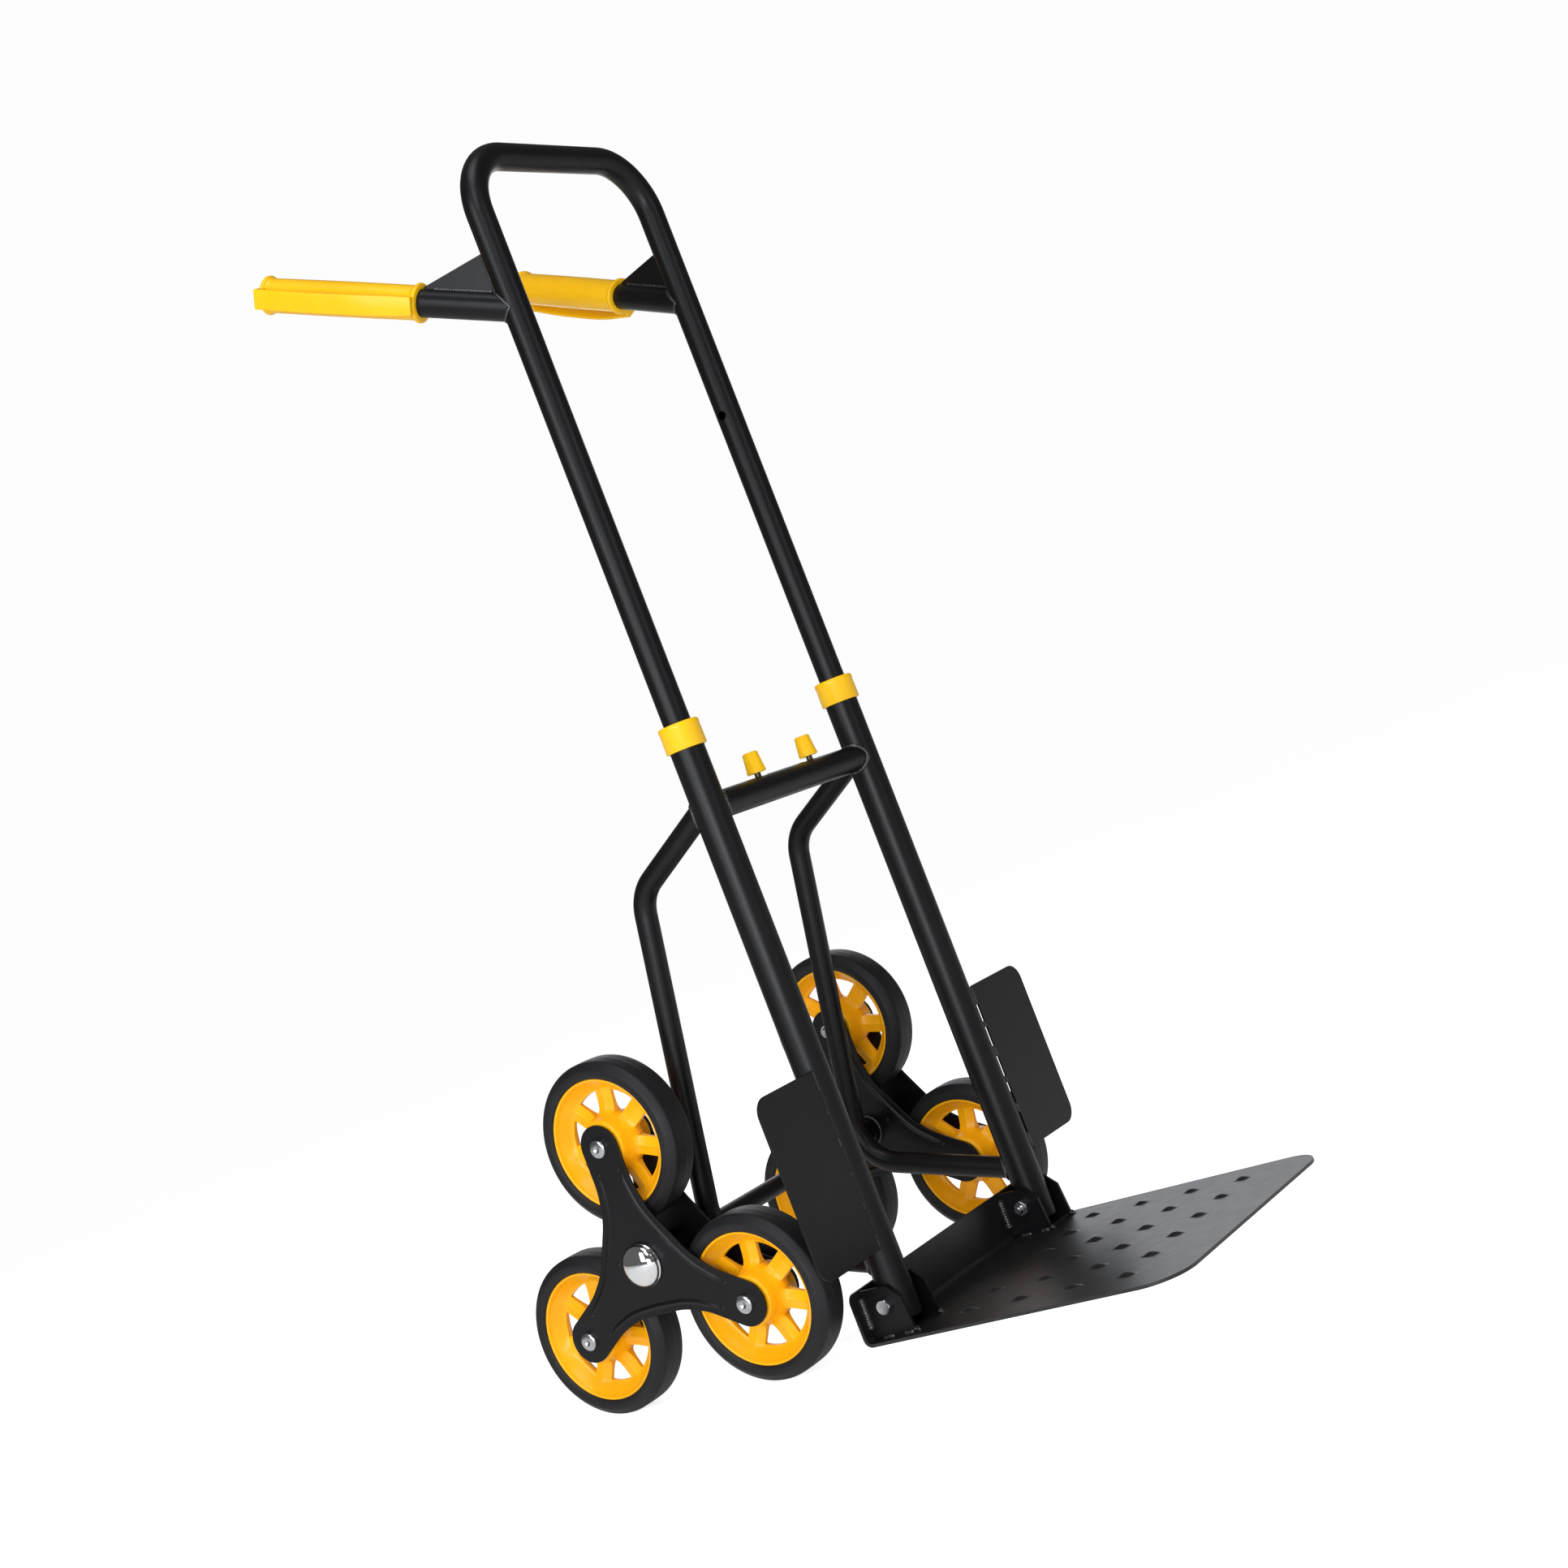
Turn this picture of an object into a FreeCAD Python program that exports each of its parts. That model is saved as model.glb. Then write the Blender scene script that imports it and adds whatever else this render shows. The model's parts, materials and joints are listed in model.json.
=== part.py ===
import FreeCAD, Part
import math
import os

import Sketcher

# Stair climbing trolley: a folding sack truck with two three-wheel stair carriers.
# Millimetres, +Z up. The origin lies on the floor, midway between the two main tubes.
# -X is the left side seen from the front, -Y is the load side, +Y the wheel side.

# ---------------------------------------------------------------- driving sizes
SIZES = [
    # name, value, what it is
    ("tube_od", 31.8, "lower main tube, outside"),
    ("tube_bore", 28.8, "lower main tube, inside"),
    ("tube_foot", 12.5, "height of the lower tube's bottom end"),
    ("tube_top", 560.0, "height of the lower tube's top end"),
    ("half_spacing", 127.0, "middle plane to each main tube"),
    ("slide_gap", 0.05, "radial running clearance of a sliding or turning fit"),
    ("end_play", 0.1, "end play of what turns or slides"),
    ("upper_od", 25.4, "telescoping tube, outside"),
    ("upper_bore", 22.4, "telescoping tube, inside"),
    ("handle_top", 1106.0, "height of the top bar's centreline"),
    ("handle_foot", 436.0, "height of the telescoping tube's lower end"),
    ("handle_bend", 56.0, "centreline radius of the top bends"),
    ("guide_height", 32.0, "height of the guide on the telescoping tube's end"),
    ("guide_lip", 2.5, "lip of the guide under the telescoping tube's end"),
    ("travel", 355.0, "how far the handle slides down"),
    ("collar_od", 38.0, "plastic collar, outside"),
    ("collar_low", 542.0, "underside of the plastic collar"),
    ("collar_top", 566.0, "top of the plastic collar"),
    ("collar_skirt", 28.0, "depth of the collar's sleeve inside the tube"),
    ("collar_bevel", 1.5, "bevel around the collar's top"),
    ("bar_od", 25.4, "crossbar, outside"),
    ("bar_bore", 22.4, "crossbar, inside"),
    ("bar_height", 486.5, "height of the crossbar's centreline"),
    ("knob_offset", 43.0, "middle plane to each lock knob"),
    ("knob_low_od", 18.0, "lock knob, lower diameter"),
    ("knob_top_od", 14.5, "lock knob, upper diameter"),
    ("knob_height", 20.0, "lock knob, height"),
    ("knob_clear", 3.5, "gap between crossbar and knob"),
    ("knob_bevel", 1.6, "bevel around a lock knob's top"),
    ("slot_gap", 0.6, "gap between a stem and its slot"),
    ("lock_travel", 12.0, "how far each lock knob slides"),
    ("pin_od", 8.0, "lock pin"),
    ("stem_od", 6.0, "stem of a lock knob"),
    ("piston_length", 14.0, "guide piston on the lock pin"),
    ("stop_length", 12.0, "plug in the middle of the crossbar"),
    ("spring_od", 14.0, "lock spring, outside"),
    ("spring_wire", 1.6, "lock spring, wire"),
    ("spring_turns", 5.0, "lock spring, turns"),
    ("brace_od", 21.0, "rear brace tube, outside"),
    ("brace_bore", 18.0, "rear brace tube, inside"),
    ("brace_top", 492.0, "height of the brace's upper end on the tube axis"),
    ("brace_knee_y", 108.0, "upper bend, behind the main tube"),
    ("brace_knee_z", 438.0, "upper bend, height"),
    ("brace_heel_y", 177.0, "lower bend, behind the main tube"),
    ("brace_heel_z", 110.0, "lower bend, height"),
    ("brace_foot", 62.0, "height of the brace's lower end on the tube axis"),
    ("knee_bend", 40.0, "centreline radius of the upper bend"),
    ("heel_bend", 45.0, "centreline radius of the lower bend"),
    ("wheel_od", 152.0, "tyre, outside"),
    ("hub_od", 122.0, "wheel hub, outside"),
    ("tyre_width", 37.0, "tyre, width"),
    ("tyre_bevel", 5.5, "bevel between tread and side wall"),
    ("tyre_round", 1.2, "rounding where the bevel meets tread and side wall"),
    ("rim_width", 32.0, "hub rim, width"),
    ("rim_wall", 5.5, "hub rim, wall"),
    ("web_thick", 6.0, "hub web, thickness"),
    ("boss_od", 44.0, "hub boss, outside"),
    ("spokes", 7.0, "windows in a hub"),
    ("window_inner", 28.0, "inner edge of a hub window, from the wheel's axis"),
    ("window_outer", 47.5, "outer radius of a hub window"),
    ("window_foot", 8.0, "width of a hub window at its inner edge"),
    ("window_head", 27.0, "width of a hub window at its outer edge"),
    ("arm", 110.0, "axle to wheel centre"),
    ("axle_y", 184.0, "axle behind the main tubes"),
    ("star_plane", 191.0, "middle plane to the middle of a wheel carrier"),
    ("star_gap", 48.0, "between the two plates of a wheel carrier"),
    ("star_sheet", 2.5, "plate of a wheel carrier"),
    ("tip_radius", 21.0, "rounded end of a carrier arm"),
    ("flank", 47.0, "axle to the straight flank between two arms"),
    ("flank_half", 26.0, "half the straight flank"),
    ("flank_bend", 78.0, "radius that blends flank and arm"),
    ("arm_straight", 38.0, "straight side of a carrier arm, back from its tip's centre"),
    ("rib_inset", 7.0, "edge of a carrier plate to the middle of its rib"),
    ("rib_reach", 84.0, "end of a rib, along the arm from the axle"),
    ("rib_height", 1.3, "raised rib on a carrier plate"),
    ("rib_round", 1.8, "radius of a rib's section"),
    ("star_hub_od", 30.0, "hub sleeve of a wheel carrier"),
    ("hub_past", 8.0, "hub sleeve past the inner plate"),
    ("axle_od", 12.0, "axle rod"),
    ("axle_past", 5.0, "axle rod past the outer plate, inside the cap"),
    ("axle_tube_od", 18.0, "tube around the axle rod"),
    ("cap_od", 41.0, "domed axle cap"),
    ("cap_height", 13.0, "domed axle cap, height"),
    ("wheel_bolt", 8.0, "wheel bolt"),
    ("wheel_head_od", 17.0, "round head of a wheel bolt"),
    ("wheel_head", 4.5, "height of a wheel bolt's head"),
    ("head_round", 1.8, "rounded rim of a wheel bolt's head"),
    ("nut_flats", 13.0, "across the flats of a nut"),
    ("nut_height", 6.5, "height of a nut"),
    ("bolt_end", 3.0, "bolt end past its nut"),
    ("plate_width", 323.0, "toe plate, width"),
    ("plate_front", 290.0, "toe plate, front edge ahead of the tubes"),
    ("plate_back", 27.0, "toe plate, back face behind the tubes"),
    ("plate_sheet", 3.0, "toe plate, thickness"),
    ("plate_rise", 48.0, "toe plate, height of its rear flange"),
    ("plate_bend", 8.0, "toe plate, outside radius of the bend"),
    ("plate_corner", 38.0, "toe plate, radius of the front corners"),
    ("flange_corner", 8.0, "toe plate, radius of the flange's upper corners"),
    ("hinge_height", 30.0, "height of the toe plate's hinge bolts"),
    ("hinge_bolt", 8.0, "hinge bolt"),
    ("hinge_flats", 13.0, "across the flats of a hinge bolt's head"),
    ("hinge_head", 5.5, "height of a hinge bolt's head"),
    ("hinge_nut", 6.5, "height of a hinge nut"),
    ("hinge_bolt_end", 6.0, "hinge bolt past its nut"),
    ("ear_gap", 38.0, "between the two ears of a hinge bracket"),
    ("ear_sheet", 3.0, "thickness of an ear"),
    ("ear_front", 21.0, "ear, front edge ahead of the bolt"),
    ("ear_chamfer", 12.0, "ear, cut-off upper front corner"),
    ("ear_lean", 3.0, "ear, how far its front edge leans back"),
    ("ear_web", 3.0, "hinge bracket, thickness of its web"),
    ("flap_low", 77.0, "wheel guard, lower edge"),
    ("flap_top", 242.0, "wheel guard, upper edge"),
    ("flap_out", 232.0, "wheel guard, outer edge from the middle plane"),
    ("flap_y", 11.7, "wheel guard, front face ahead of the tube axis"),
    ("flap_sheet", 2.0, "wheel guard, thickness"),
    ("flap_corner", 16.0, "wheel guard, radius of the outer corners"),
    ("stub_height", 960.0, "where a rear handle meets the tube axis"),
    ("stub_rise", 27.0, "rear handle, degrees above level"),
    ("stub_splay", 14.0, "rear handle, degrees outward"),
    ("stub_length", 250.0, "rear handle tube, from the tube axis"),
    ("grip_start", 94.0, "front end of the soft grip, from the tube axis"),
    ("grip_end", 255.0, "rear end of the soft grip, from the tube axis"),
    ("grip_od", 31.4, "soft grip, outside"),
    ("grip_flange_od", 36.0, "soft grip, end flanges"),
    ("grip_flange", 5.0, "soft grip, length of an end flange"),
    ("guard_width", 18.0, "knuckle guard band, width"),
    ("guard_thick", 3.6, "knuckle guard band, thickness"),
    ("guard_rise", 14.0, "knuckle guard band, clear of the grip"),
    ("guard_turn_left", 77.0, "left knuckle guard, degrees from straight down to outward"),
    ("guard_turn_right", 40.0, "right knuckle guard, degrees from straight down to outward"),
    ("gusset_sheet", 2.5, "gusset, thickness"),
    ("gusset_top", 1018.0, "gusset, height of its upper edge at the tube"),
    ("gusset_reach", 86.0, "gusset, its end on the rear handle, from the tube axis"),
    ("gusset_blunt", 1.5, "gusset, height of its blunt end"),
]

doc = FreeCAD.newDocument("StairTrolley")
sheet = doc.addObject("Spreadsheet::Sheet", "Sizes")
for row, (name, number, note) in enumerate(SIZES, start=1):
    sheet.set("A%d" % row, note)
    sheet.set("B%d" % row, str(number))
    sheet.setAlias("B%d" % row, name)
doc.recompute()

SIDES = (("left", -1), ("right", 1))
ARM_DEGREES = (0.0, 120.0, 240.0)
X_AXIS = FreeCAD.Vector(1, 0, 0)
Y_AXIS = FreeCAD.Vector(0, 1, 0)
Z_AXIS = FreeCAD.Vector(0, 0, 1)
# every exported sub-part, in the order it is made
PARTS = []


# ---------------------------------------------------------------- helpers
def size(name):
    """A number from the sheet."""
    return float(sheet.get(name))


def cell(name):
    """The sheet cell as an expression."""
    return "Sizes.%s" % name


def value(expression):
    """What an expression over the sheet is worth now."""
    return float(sheet.evalExpression(expression))


def keep(thing, label):
    """Mark an object as a sub-part to export under this label."""
    thing.Label = label
    PARTS.append(thing)
    return thing


def bind(thing, **expressions):
    for prop, expression in expressions.items():
        thing.setExpression(prop, expression)
    return thing


def new_body(label):
    return keep(doc.addObject("PartDesign::Body", label), label)


def origin_plane(body, role):
    return [f for f in body.Origin.OriginFeatures if f.Role == role][0]


def new_sketch(body, role, name, lift=None):
    sketch = body.newObject("Sketcher::SketchObject", name)
    sketch.AttachmentSupport = [(origin_plane(body, role), "")]
    sketch.MapMode = "FlatFace"
    if lift:
        sketch.setExpression("AttachmentOffset.Base.z", lift)
    return sketch


def constrain(sketch, kind, places, expression):
    """Add a dimension and bind it to the sheet."""
    index = sketch.addConstraint(Sketcher.Constraint(kind, *places, value(expression)))
    sketch.setExpression("Constraints[%d]" % index, expression)


def fix_point(sketch, geometry, point, x, y):
    constrain(sketch, "DistanceX", (-1, 1, geometry, point), x)
    constrain(sketch, "DistanceY", (-1, 1, geometry, point), y)


def add_circle(sketch, x, y, radius):
    centre = FreeCAD.Vector(value(x), value(y), 0)
    circle = sketch.addGeometry(Part.Circle(centre, Z_AXIS, value(radius)), False)
    fix_point(sketch, circle, 3, x, y)
    constrain(sketch, "Radius", (circle,), radius)


def add_polygon(sketch, points):
    """A closed outline whose corners are pairs of expressions."""
    places = [FreeCAD.Vector(value(x), value(y), 0) for x, y in points]
    count = len(points)
    lines = []
    for i in range(count):
        line = Part.LineSegment(places[i], places[(i + 1) % count])
        lines.append(sketch.addGeometry(line, False))
    for i in range(count):
        nxt = lines[(i + 1) % count]
        sketch.addConstraint(Sketcher.Constraint("Coincident", lines[i], 2, nxt, 1))
    for i in range(count):
        fix_point(sketch, lines[i], 1, *points[i])


def add_box(sketch, x_low, y_low, x_high, y_high):
    add_polygon(sketch, [(x_low, y_low), (x_high, y_low), (x_high, y_high), (x_low, y_high)])


def add_path(sketch, points, radii):
    """An open run of lines through the points, its inner corners rounded by arcs."""
    places = [FreeCAD.Vector(value(x), value(y), 0) for x, y in points]
    starts = [places[0]]
    arcs = []
    for i in range(1, len(places) - 1):
        radius = value(radii[i - 1])
        back = (places[i - 1] - places[i]).normalize()
        ahead = (places[i + 1] - places[i]).normalize()
        half = back.getAngle(ahead) / 2.0
        setback = radius / math.tan(half)
        middle = places[i] + (back + ahead).normalize() * (radius / math.sin(half))
        first = places[i] + back * setback
        last = places[i] + ahead * setback
        left_turn = (places[i] - places[i - 1]).cross(places[i + 1] - places[i]).z > 0
        low, high = (first, last) if left_turn else (last, first)
        angles = [math.atan2(p.y - middle.y, p.x - middle.x) for p in (low, high)]
        circle = Part.Circle(middle, Z_AXIS, radius)
        arcs.append((Part.ArcOfCircle(circle, angles[0], angles[1]), left_turn))
        starts.append(first)
        starts.append(last)
    starts.append(places[-1])
    lines = []
    for i in range(len(places) - 1):
        line = Part.LineSegment(starts[2 * i], starts[2 * i + 1])
        lines.append(sketch.addGeometry(line, False))
    for i, (arc, left_turn) in enumerate(arcs):
        index = sketch.addGeometry(arc, False)
        enter, leave = (1, 2) if left_turn else (2, 1)
        for line, end, side in ((lines[i], 2, enter), (lines[i + 1], 1, leave)):
            sketch.addConstraint(Sketcher.Constraint("Tangent", line, end, index, side))
        constrain(sketch, "Radius", (index,), radii[i])
        corner = sketch.addGeometry(Part.Point(places[i + 1]), True)
        fix_point(sketch, corner, 1, *points[i + 1])
        for line in (lines[i], lines[i + 1]):
            sketch.addConstraint(Sketcher.Constraint("PointOnObject", corner, 1, line))
    fix_point(sketch, lines[0], 1, *points[0])
    fix_point(sketch, lines[-1], 2, *points[-1])


def pad(body, sketch, length, midplane=False, backwards=False):
    feature = body.newObject("PartDesign::Pad", sketch.Name + "Pad")
    feature.Profile = sketch
    feature.setExpression("Length", length)
    feature.Midplane = midplane
    feature.Reversed = backwards
    body.Tip = feature
    return feature


def pocket(body, sketch, length=None, midplane=False, backwards=False):
    feature = body.newObject("PartDesign::Pocket", sketch.Name + "Pocket")
    feature.Profile = sketch
    if length:
        feature.setExpression("Length", length)
    else:
        feature.Type = "ThroughAll"
    feature.Midplane = midplane
    feature.Reversed = backwards
    body.Tip = feature
    return feature


def revolve(body, sketch):
    """Turn a profile about the sketch's vertical axis."""
    feature = body.newObject("PartDesign::Revolution", sketch.Name + "Turn")
    feature.Profile = sketch
    feature.ReferenceAxis = (sketch, ["V_Axis"])
    feature.Angle = 360
    body.Tip = feature
    return feature


def cut_round(body, radius, length, base, direction):
    """Take a cylinder, centred on a point, out of a body."""
    feature = body.newObject("PartDesign::SubtractiveCylinder", "RoundCut")
    feature.setExpression("Radius", radius)
    feature.setExpression("Height", length)
    place_along(feature, "AttachmentOffset", base, direction, value(length) / 2)
    feature.AttachmentSupport = [(origin_plane(body, "XY_Plane"), "")]
    feature.MapMode = "FlatFace"
    body.Tip = feature
    return feature


def place_along(thing, prop, base, direction, back=0.0):
    """Place a Z-built shape at a point and along a direction, moved back by a length."""
    turn = FreeCAD.Rotation(Z_AXIS, direction)
    start = base - FreeCAD.Vector(direction).normalize() * back
    setattr(thing, prop, FreeCAD.Placement(start, turn))


def pattern(body, features, axis, count):
    """Repeat features around an axis of the body."""
    feature = body.newObject("PartDesign::PolarPattern", "Around")
    feature.Originals = features
    feature.Axis = (origin_plane(body, axis), [""])
    feature.Angle = 360
    feature.setExpression("Occurrences", count)
    body.Tip = feature
    return feature


def soften(body, base, edges, radius, kind="Fillet"):
    """Round or bevel edges picked by a test on the edge."""
    doc.recompute()
    names = []
    for i, edge in enumerate(base.Shape.Edges, start=1):
        if edges(edge):
            names.append("Edge%d" % i)
    feature = body.newObject("PartDesign::" + kind, kind)
    feature.Base = (base, names)
    feature.setExpression("Radius" if kind == "Fillet" else "Size", radius)
    body.Tip = feature
    return feature


def is_along(direction):
    """A test for straight edges that run along a direction."""
    def test(edge):
        if len(edge.Vertexes) != 2 or edge.Curve.TypeId != "Part::GeomLine":
            return False
        run = edge.Vertexes[1].Point - edge.Vertexes[0].Point
        return run.cross(direction).Length < 1e-6
    return test


def pipe_body(label, role, lift, points, radii, outer, bore):
    """A round tube bent along a path in one plane."""
    body = new_body(label)
    path = new_sketch(body, role, "Path", lift)
    add_path(path, points, radii)
    doc.recompute()
    ring = body.newObject("Sketcher::SketchObject", "Ring")
    ring.AttachmentSupport = [(path, "Edge1")]
    ring.MapMode = "NormalToEdge"
    add_circle(ring, "0", "0", outer)
    add_circle(ring, "0", "0", bore)
    doc.recompute()
    pipe = body.newObject("PartDesign::AdditivePipe", "Bend")
    pipe.Profile = ring
    pipe.Spine = (path, [])
    body.Tip = pipe
    doc.recompute()
    return body


def cylinder(name, radius, height, base, direction, back=0.0):
    thing = doc.addObject("Part::Cylinder", name)
    bind(thing, Radius=radius, Height=height)
    place_along(thing, "Placement", base, direction, back)
    return thing


def boolean(kind, base, tool, name="Step"):
    thing = doc.addObject("Part::" + kind, name)
    thing.Base = base
    thing.Tool = tool
    return thing


def group(shapes, label):
    """Several identical fasteners as one sub-part."""
    thing = doc.addObject("Part::Feature", label)
    thing.Shape = Part.makeCompound(shapes)
    return keep(thing, label)


def at(x=0.0, y=0.0, z=0.0):
    return FreeCAD.Vector(x, y, z)


def hexagon(flats, height, base, direction):
    """A hexagonal prism, its far corners turned down by a 30 degree cone."""
    corner = flats / math.sqrt(3)
    turns = [math.radians(60 * i) for i in range(7)]
    ring = [at(corner * math.cos(turn), corner * math.sin(turn)) for turn in turns]
    prism = Part.Face(Part.makePolygon(ring)).extrude(Z_AXIS * height)
    spread = height / math.tan(math.radians(30))
    turned = prism.common(Part.makeCone(flats / 2 + spread, flats / 2, height))
    turned.Placement = FreeCAD.Placement(base, FreeCAD.Rotation(Z_AXIS, direction))
    return turned


# places worked out from the sheet; a carrier stands on two wheels, so its axle is
# half an arm above their centres
AXLE_HEIGHT = "(Sizes.arm / 2 + Sizes.wheel_od / 2)"
AXLE_Z = value(AXLE_HEIGHT)
STAR_HALF = size("star_gap") / 2
HALF = size("half_spacing")


# ---------------------------------------------------------------- fixed frame
def frame_tube(side, sign):
    """Lower main tube with holes for the lock pin and the hinge bolt."""
    body = new_body("frame_tube_" + side)
    ring = new_sketch(body, "XY_Plane", "TubeRing", cell("tube_foot"))
    middle = "%d * Sizes.half_spacing" % sign
    add_circle(ring, middle, "0", "Sizes.tube_od / 2")
    add_circle(ring, middle, "0", "Sizes.tube_bore / 2")
    pad(body, ring, "Sizes.tube_top - Sizes.tube_foot")
    inner = at(sign * (HALF - size("tube_od") / 2), 0, size("bar_height"))
    cut_round(body, "Sizes.pin_od / 2 + Sizes.slide_gap", "Sizes.tube_od / 2", inner, X_AXIS)
    hinge = at(sign * HALF, 0, size("hinge_height"))
    cut_round(body, "Sizes.hinge_bolt / 2 + Sizes.slide_gap", "2 * Sizes.tube_od", hinge, X_AXIS)


def collar(side, sign):
    """Plastic collar on the tube's mouth, with a sleeve that guides the inner tube."""
    body = new_body("collar_" + side)
    profile = new_sketch(body, "XZ_Plane", "CollarProfile")
    bore = "Sizes.upper_od / 2 + Sizes.slide_gap"
    skirt = "Sizes.tube_top - Sizes.collar_skirt"
    add_polygon(profile, [
        (bore, skirt),
        ("Sizes.tube_bore / 2", skirt),
        ("Sizes.tube_bore / 2", "Sizes.tube_top"),
        ("Sizes.tube_od / 2", "Sizes.tube_top"),
        ("Sizes.tube_od / 2", "Sizes.collar_low"),
        ("Sizes.collar_od / 2 - Sizes.collar_bevel / 2", "Sizes.collar_low"),
        ("Sizes.collar_od / 2", "Sizes.collar_low + Sizes.collar_bevel / 2"),
        ("Sizes.collar_od / 2", "Sizes.collar_top - Sizes.collar_bevel"),
        ("Sizes.collar_od / 2 - Sizes.collar_bevel", "Sizes.collar_top"),
        (bore, "Sizes.collar_top"),
    ])
    revolve(body, profile)
    body.setExpression("Placement.Base.x", "%d * Sizes.half_spacing" % sign)


def crossbar():
    """Tube between the main tubes, coped around them and slotted for the lock stems."""
    body = new_body("crossbar")
    ring = new_sketch(body, "YZ_Plane", "BarRing")
    add_circle(ring, "0", "Sizes.bar_height", "Sizes.bar_od / 2")
    add_circle(ring, "0", "Sizes.bar_height", "Sizes.bar_bore / 2")
    pad(body, ring, "2 * Sizes.half_spacing", midplane=True)
    for side, sign in SIDES:
        main = at(sign * HALF, 0, size("bar_height"))
        cut_round(body, "Sizes.tube_od / 2", "2 * Sizes.tube_od", main, Z_AXIS)
        brace = at(sign * HALF, 0, size("brace_top"))
        down = at(0, size("brace_knee_y"), size("brace_knee_z") - size("brace_top"))
        cut_round(body, "Sizes.brace_od / 2", "4 * Sizes.bar_od", brace, down)
    for side, sign in SIDES:
        slot = new_sketch(body, "XY_Plane", "Slot" + side.title(), cell("bar_height"))
        half = "(Sizes.stem_od / 2 + Sizes.slot_gap)"
        outer = "%d * (Sizes.knob_offset + %s)" % (sign, half)
        inner = "%d * (Sizes.knob_offset - Sizes.lock_travel - %s)" % (sign, half)
        add_box(slot, outer, "-" + half, inner, half)
        pocket(body, slot, "Sizes.bar_od", backwards=True)


def rear_brace(side, sign):
    """Bent tube from the main tube back, down past the axle and forward again."""
    points = [
        ("0", cell("brace_top")),
        (cell("brace_knee_y"), cell("brace_knee_z")),
        (cell("brace_heel_y"), cell("brace_heel_z")),
        ("0", cell("brace_foot")),
    ]
    radii = [cell("knee_bend"), cell("heel_bend")]
    lift = "%d * Sizes.half_spacing" % sign
    body = pipe_body("brace_" + side, "YZ_Plane", lift, points, radii,
                     "Sizes.brace_od / 2", "Sizes.brace_bore / 2")
    main = at(sign * HALF, 0, size("tube_top") / 2)
    cut_round(body, "Sizes.tube_od / 2", cell("tube_top"), main, Z_AXIS)
    axle = at(sign * HALF, size("axle_y"), AXLE_Z)
    cut_round(body, "Sizes.axle_tube_od / 2", "3 * Sizes.brace_od", axle, X_AXIS)


def axle_parts():
    """Cross tube welded to the braces, the rod inside it and a domed cap on each end."""
    middle = at(0, size("axle_y"), AXLE_Z)
    tube = new_body("axle_tube")
    ring = new_sketch(tube, "YZ_Plane", "AxleRing")
    add_circle(ring, cell("axle_y"), AXLE_HEIGHT, "Sizes.axle_tube_od / 2")
    add_circle(ring, cell("axle_y"), AXLE_HEIGHT, "Sizes.axle_od / 2")
    pad(tube, ring, "2 * (Sizes.star_plane - Sizes.star_gap / 2 - Sizes.star_sheet"
                    " - Sizes.hub_past - Sizes.end_play)", midplane=True)

    rod_half = "(Sizes.star_plane + Sizes.star_gap / 2 + Sizes.star_sheet + Sizes.axle_past)"
    rod = cylinder("axle_rod", "Sizes.axle_od / 2", "2 * " + rod_half, middle, X_AXIS, value(rod_half))
    keep(rod, "axle_rod")

    for side, sign in SIDES:
        cap = new_body("axle_cap_" + side)
        profile = new_sketch(cap, "XZ_Plane", "CapProfile")
        add_polygon(profile, [
            ("Sizes.axle_od / 2", "0"),
            ("Sizes.cap_od / 2 - 1", "0"),
            ("Sizes.cap_od / 2", "1"),
            ("Sizes.cap_od / 2 * cos(14)", "Sizes.cap_height * 0.42"),
            ("Sizes.cap_od / 2 * cos(33)", "Sizes.cap_height * 0.69"),
            ("Sizes.cap_od / 2 * cos(55)", "Sizes.cap_height * 0.88"),
            ("Sizes.cap_od / 2 * cos(75)", "Sizes.cap_height * 0.97"),
            ("0", "Sizes.cap_height"),
            ("0", "Sizes.axle_past"),
            ("Sizes.axle_od / 2", "Sizes.axle_past"),
        ])
        revolve(cap, profile)
        face = size("star_plane") + STAR_HALF + size("star_sheet") + size("end_play")
        place_along(cap, "Placement", middle + X_AXIS * sign * face, X_AXIS * sign)


def guard_flap(side, sign):
    """Sheet that keeps the load off the wheels, welded to the outside of the tube."""
    body = new_body("wheel_guard_" + side)
    sheet_outline = new_sketch(body, "XZ_Plane", "FlapOutline", cell("flap_y"))
    inner = "%d * Sizes.half_spacing" % sign
    outer = "%d * Sizes.flap_out" % sign
    add_box(sheet_outline, inner, cell("flap_low"), outer, cell("flap_top"))
    plate = pad(body, sheet_outline, "Sizes.flap_sheet", backwards=True)

    def outer_corner(edge):
        return is_along(Y_AXIS)(edge) and abs(edge.Vertexes[0].X) > HALF + 1
    soften(body, plate, outer_corner, cell("flap_corner"))
    main = at(sign * HALF, 0, (size("flap_low") + size("flap_top")) / 2)
    cut_round(body, "Sizes.tube_od / 2", cell("flap_top"), main, Z_AXIS)


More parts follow.
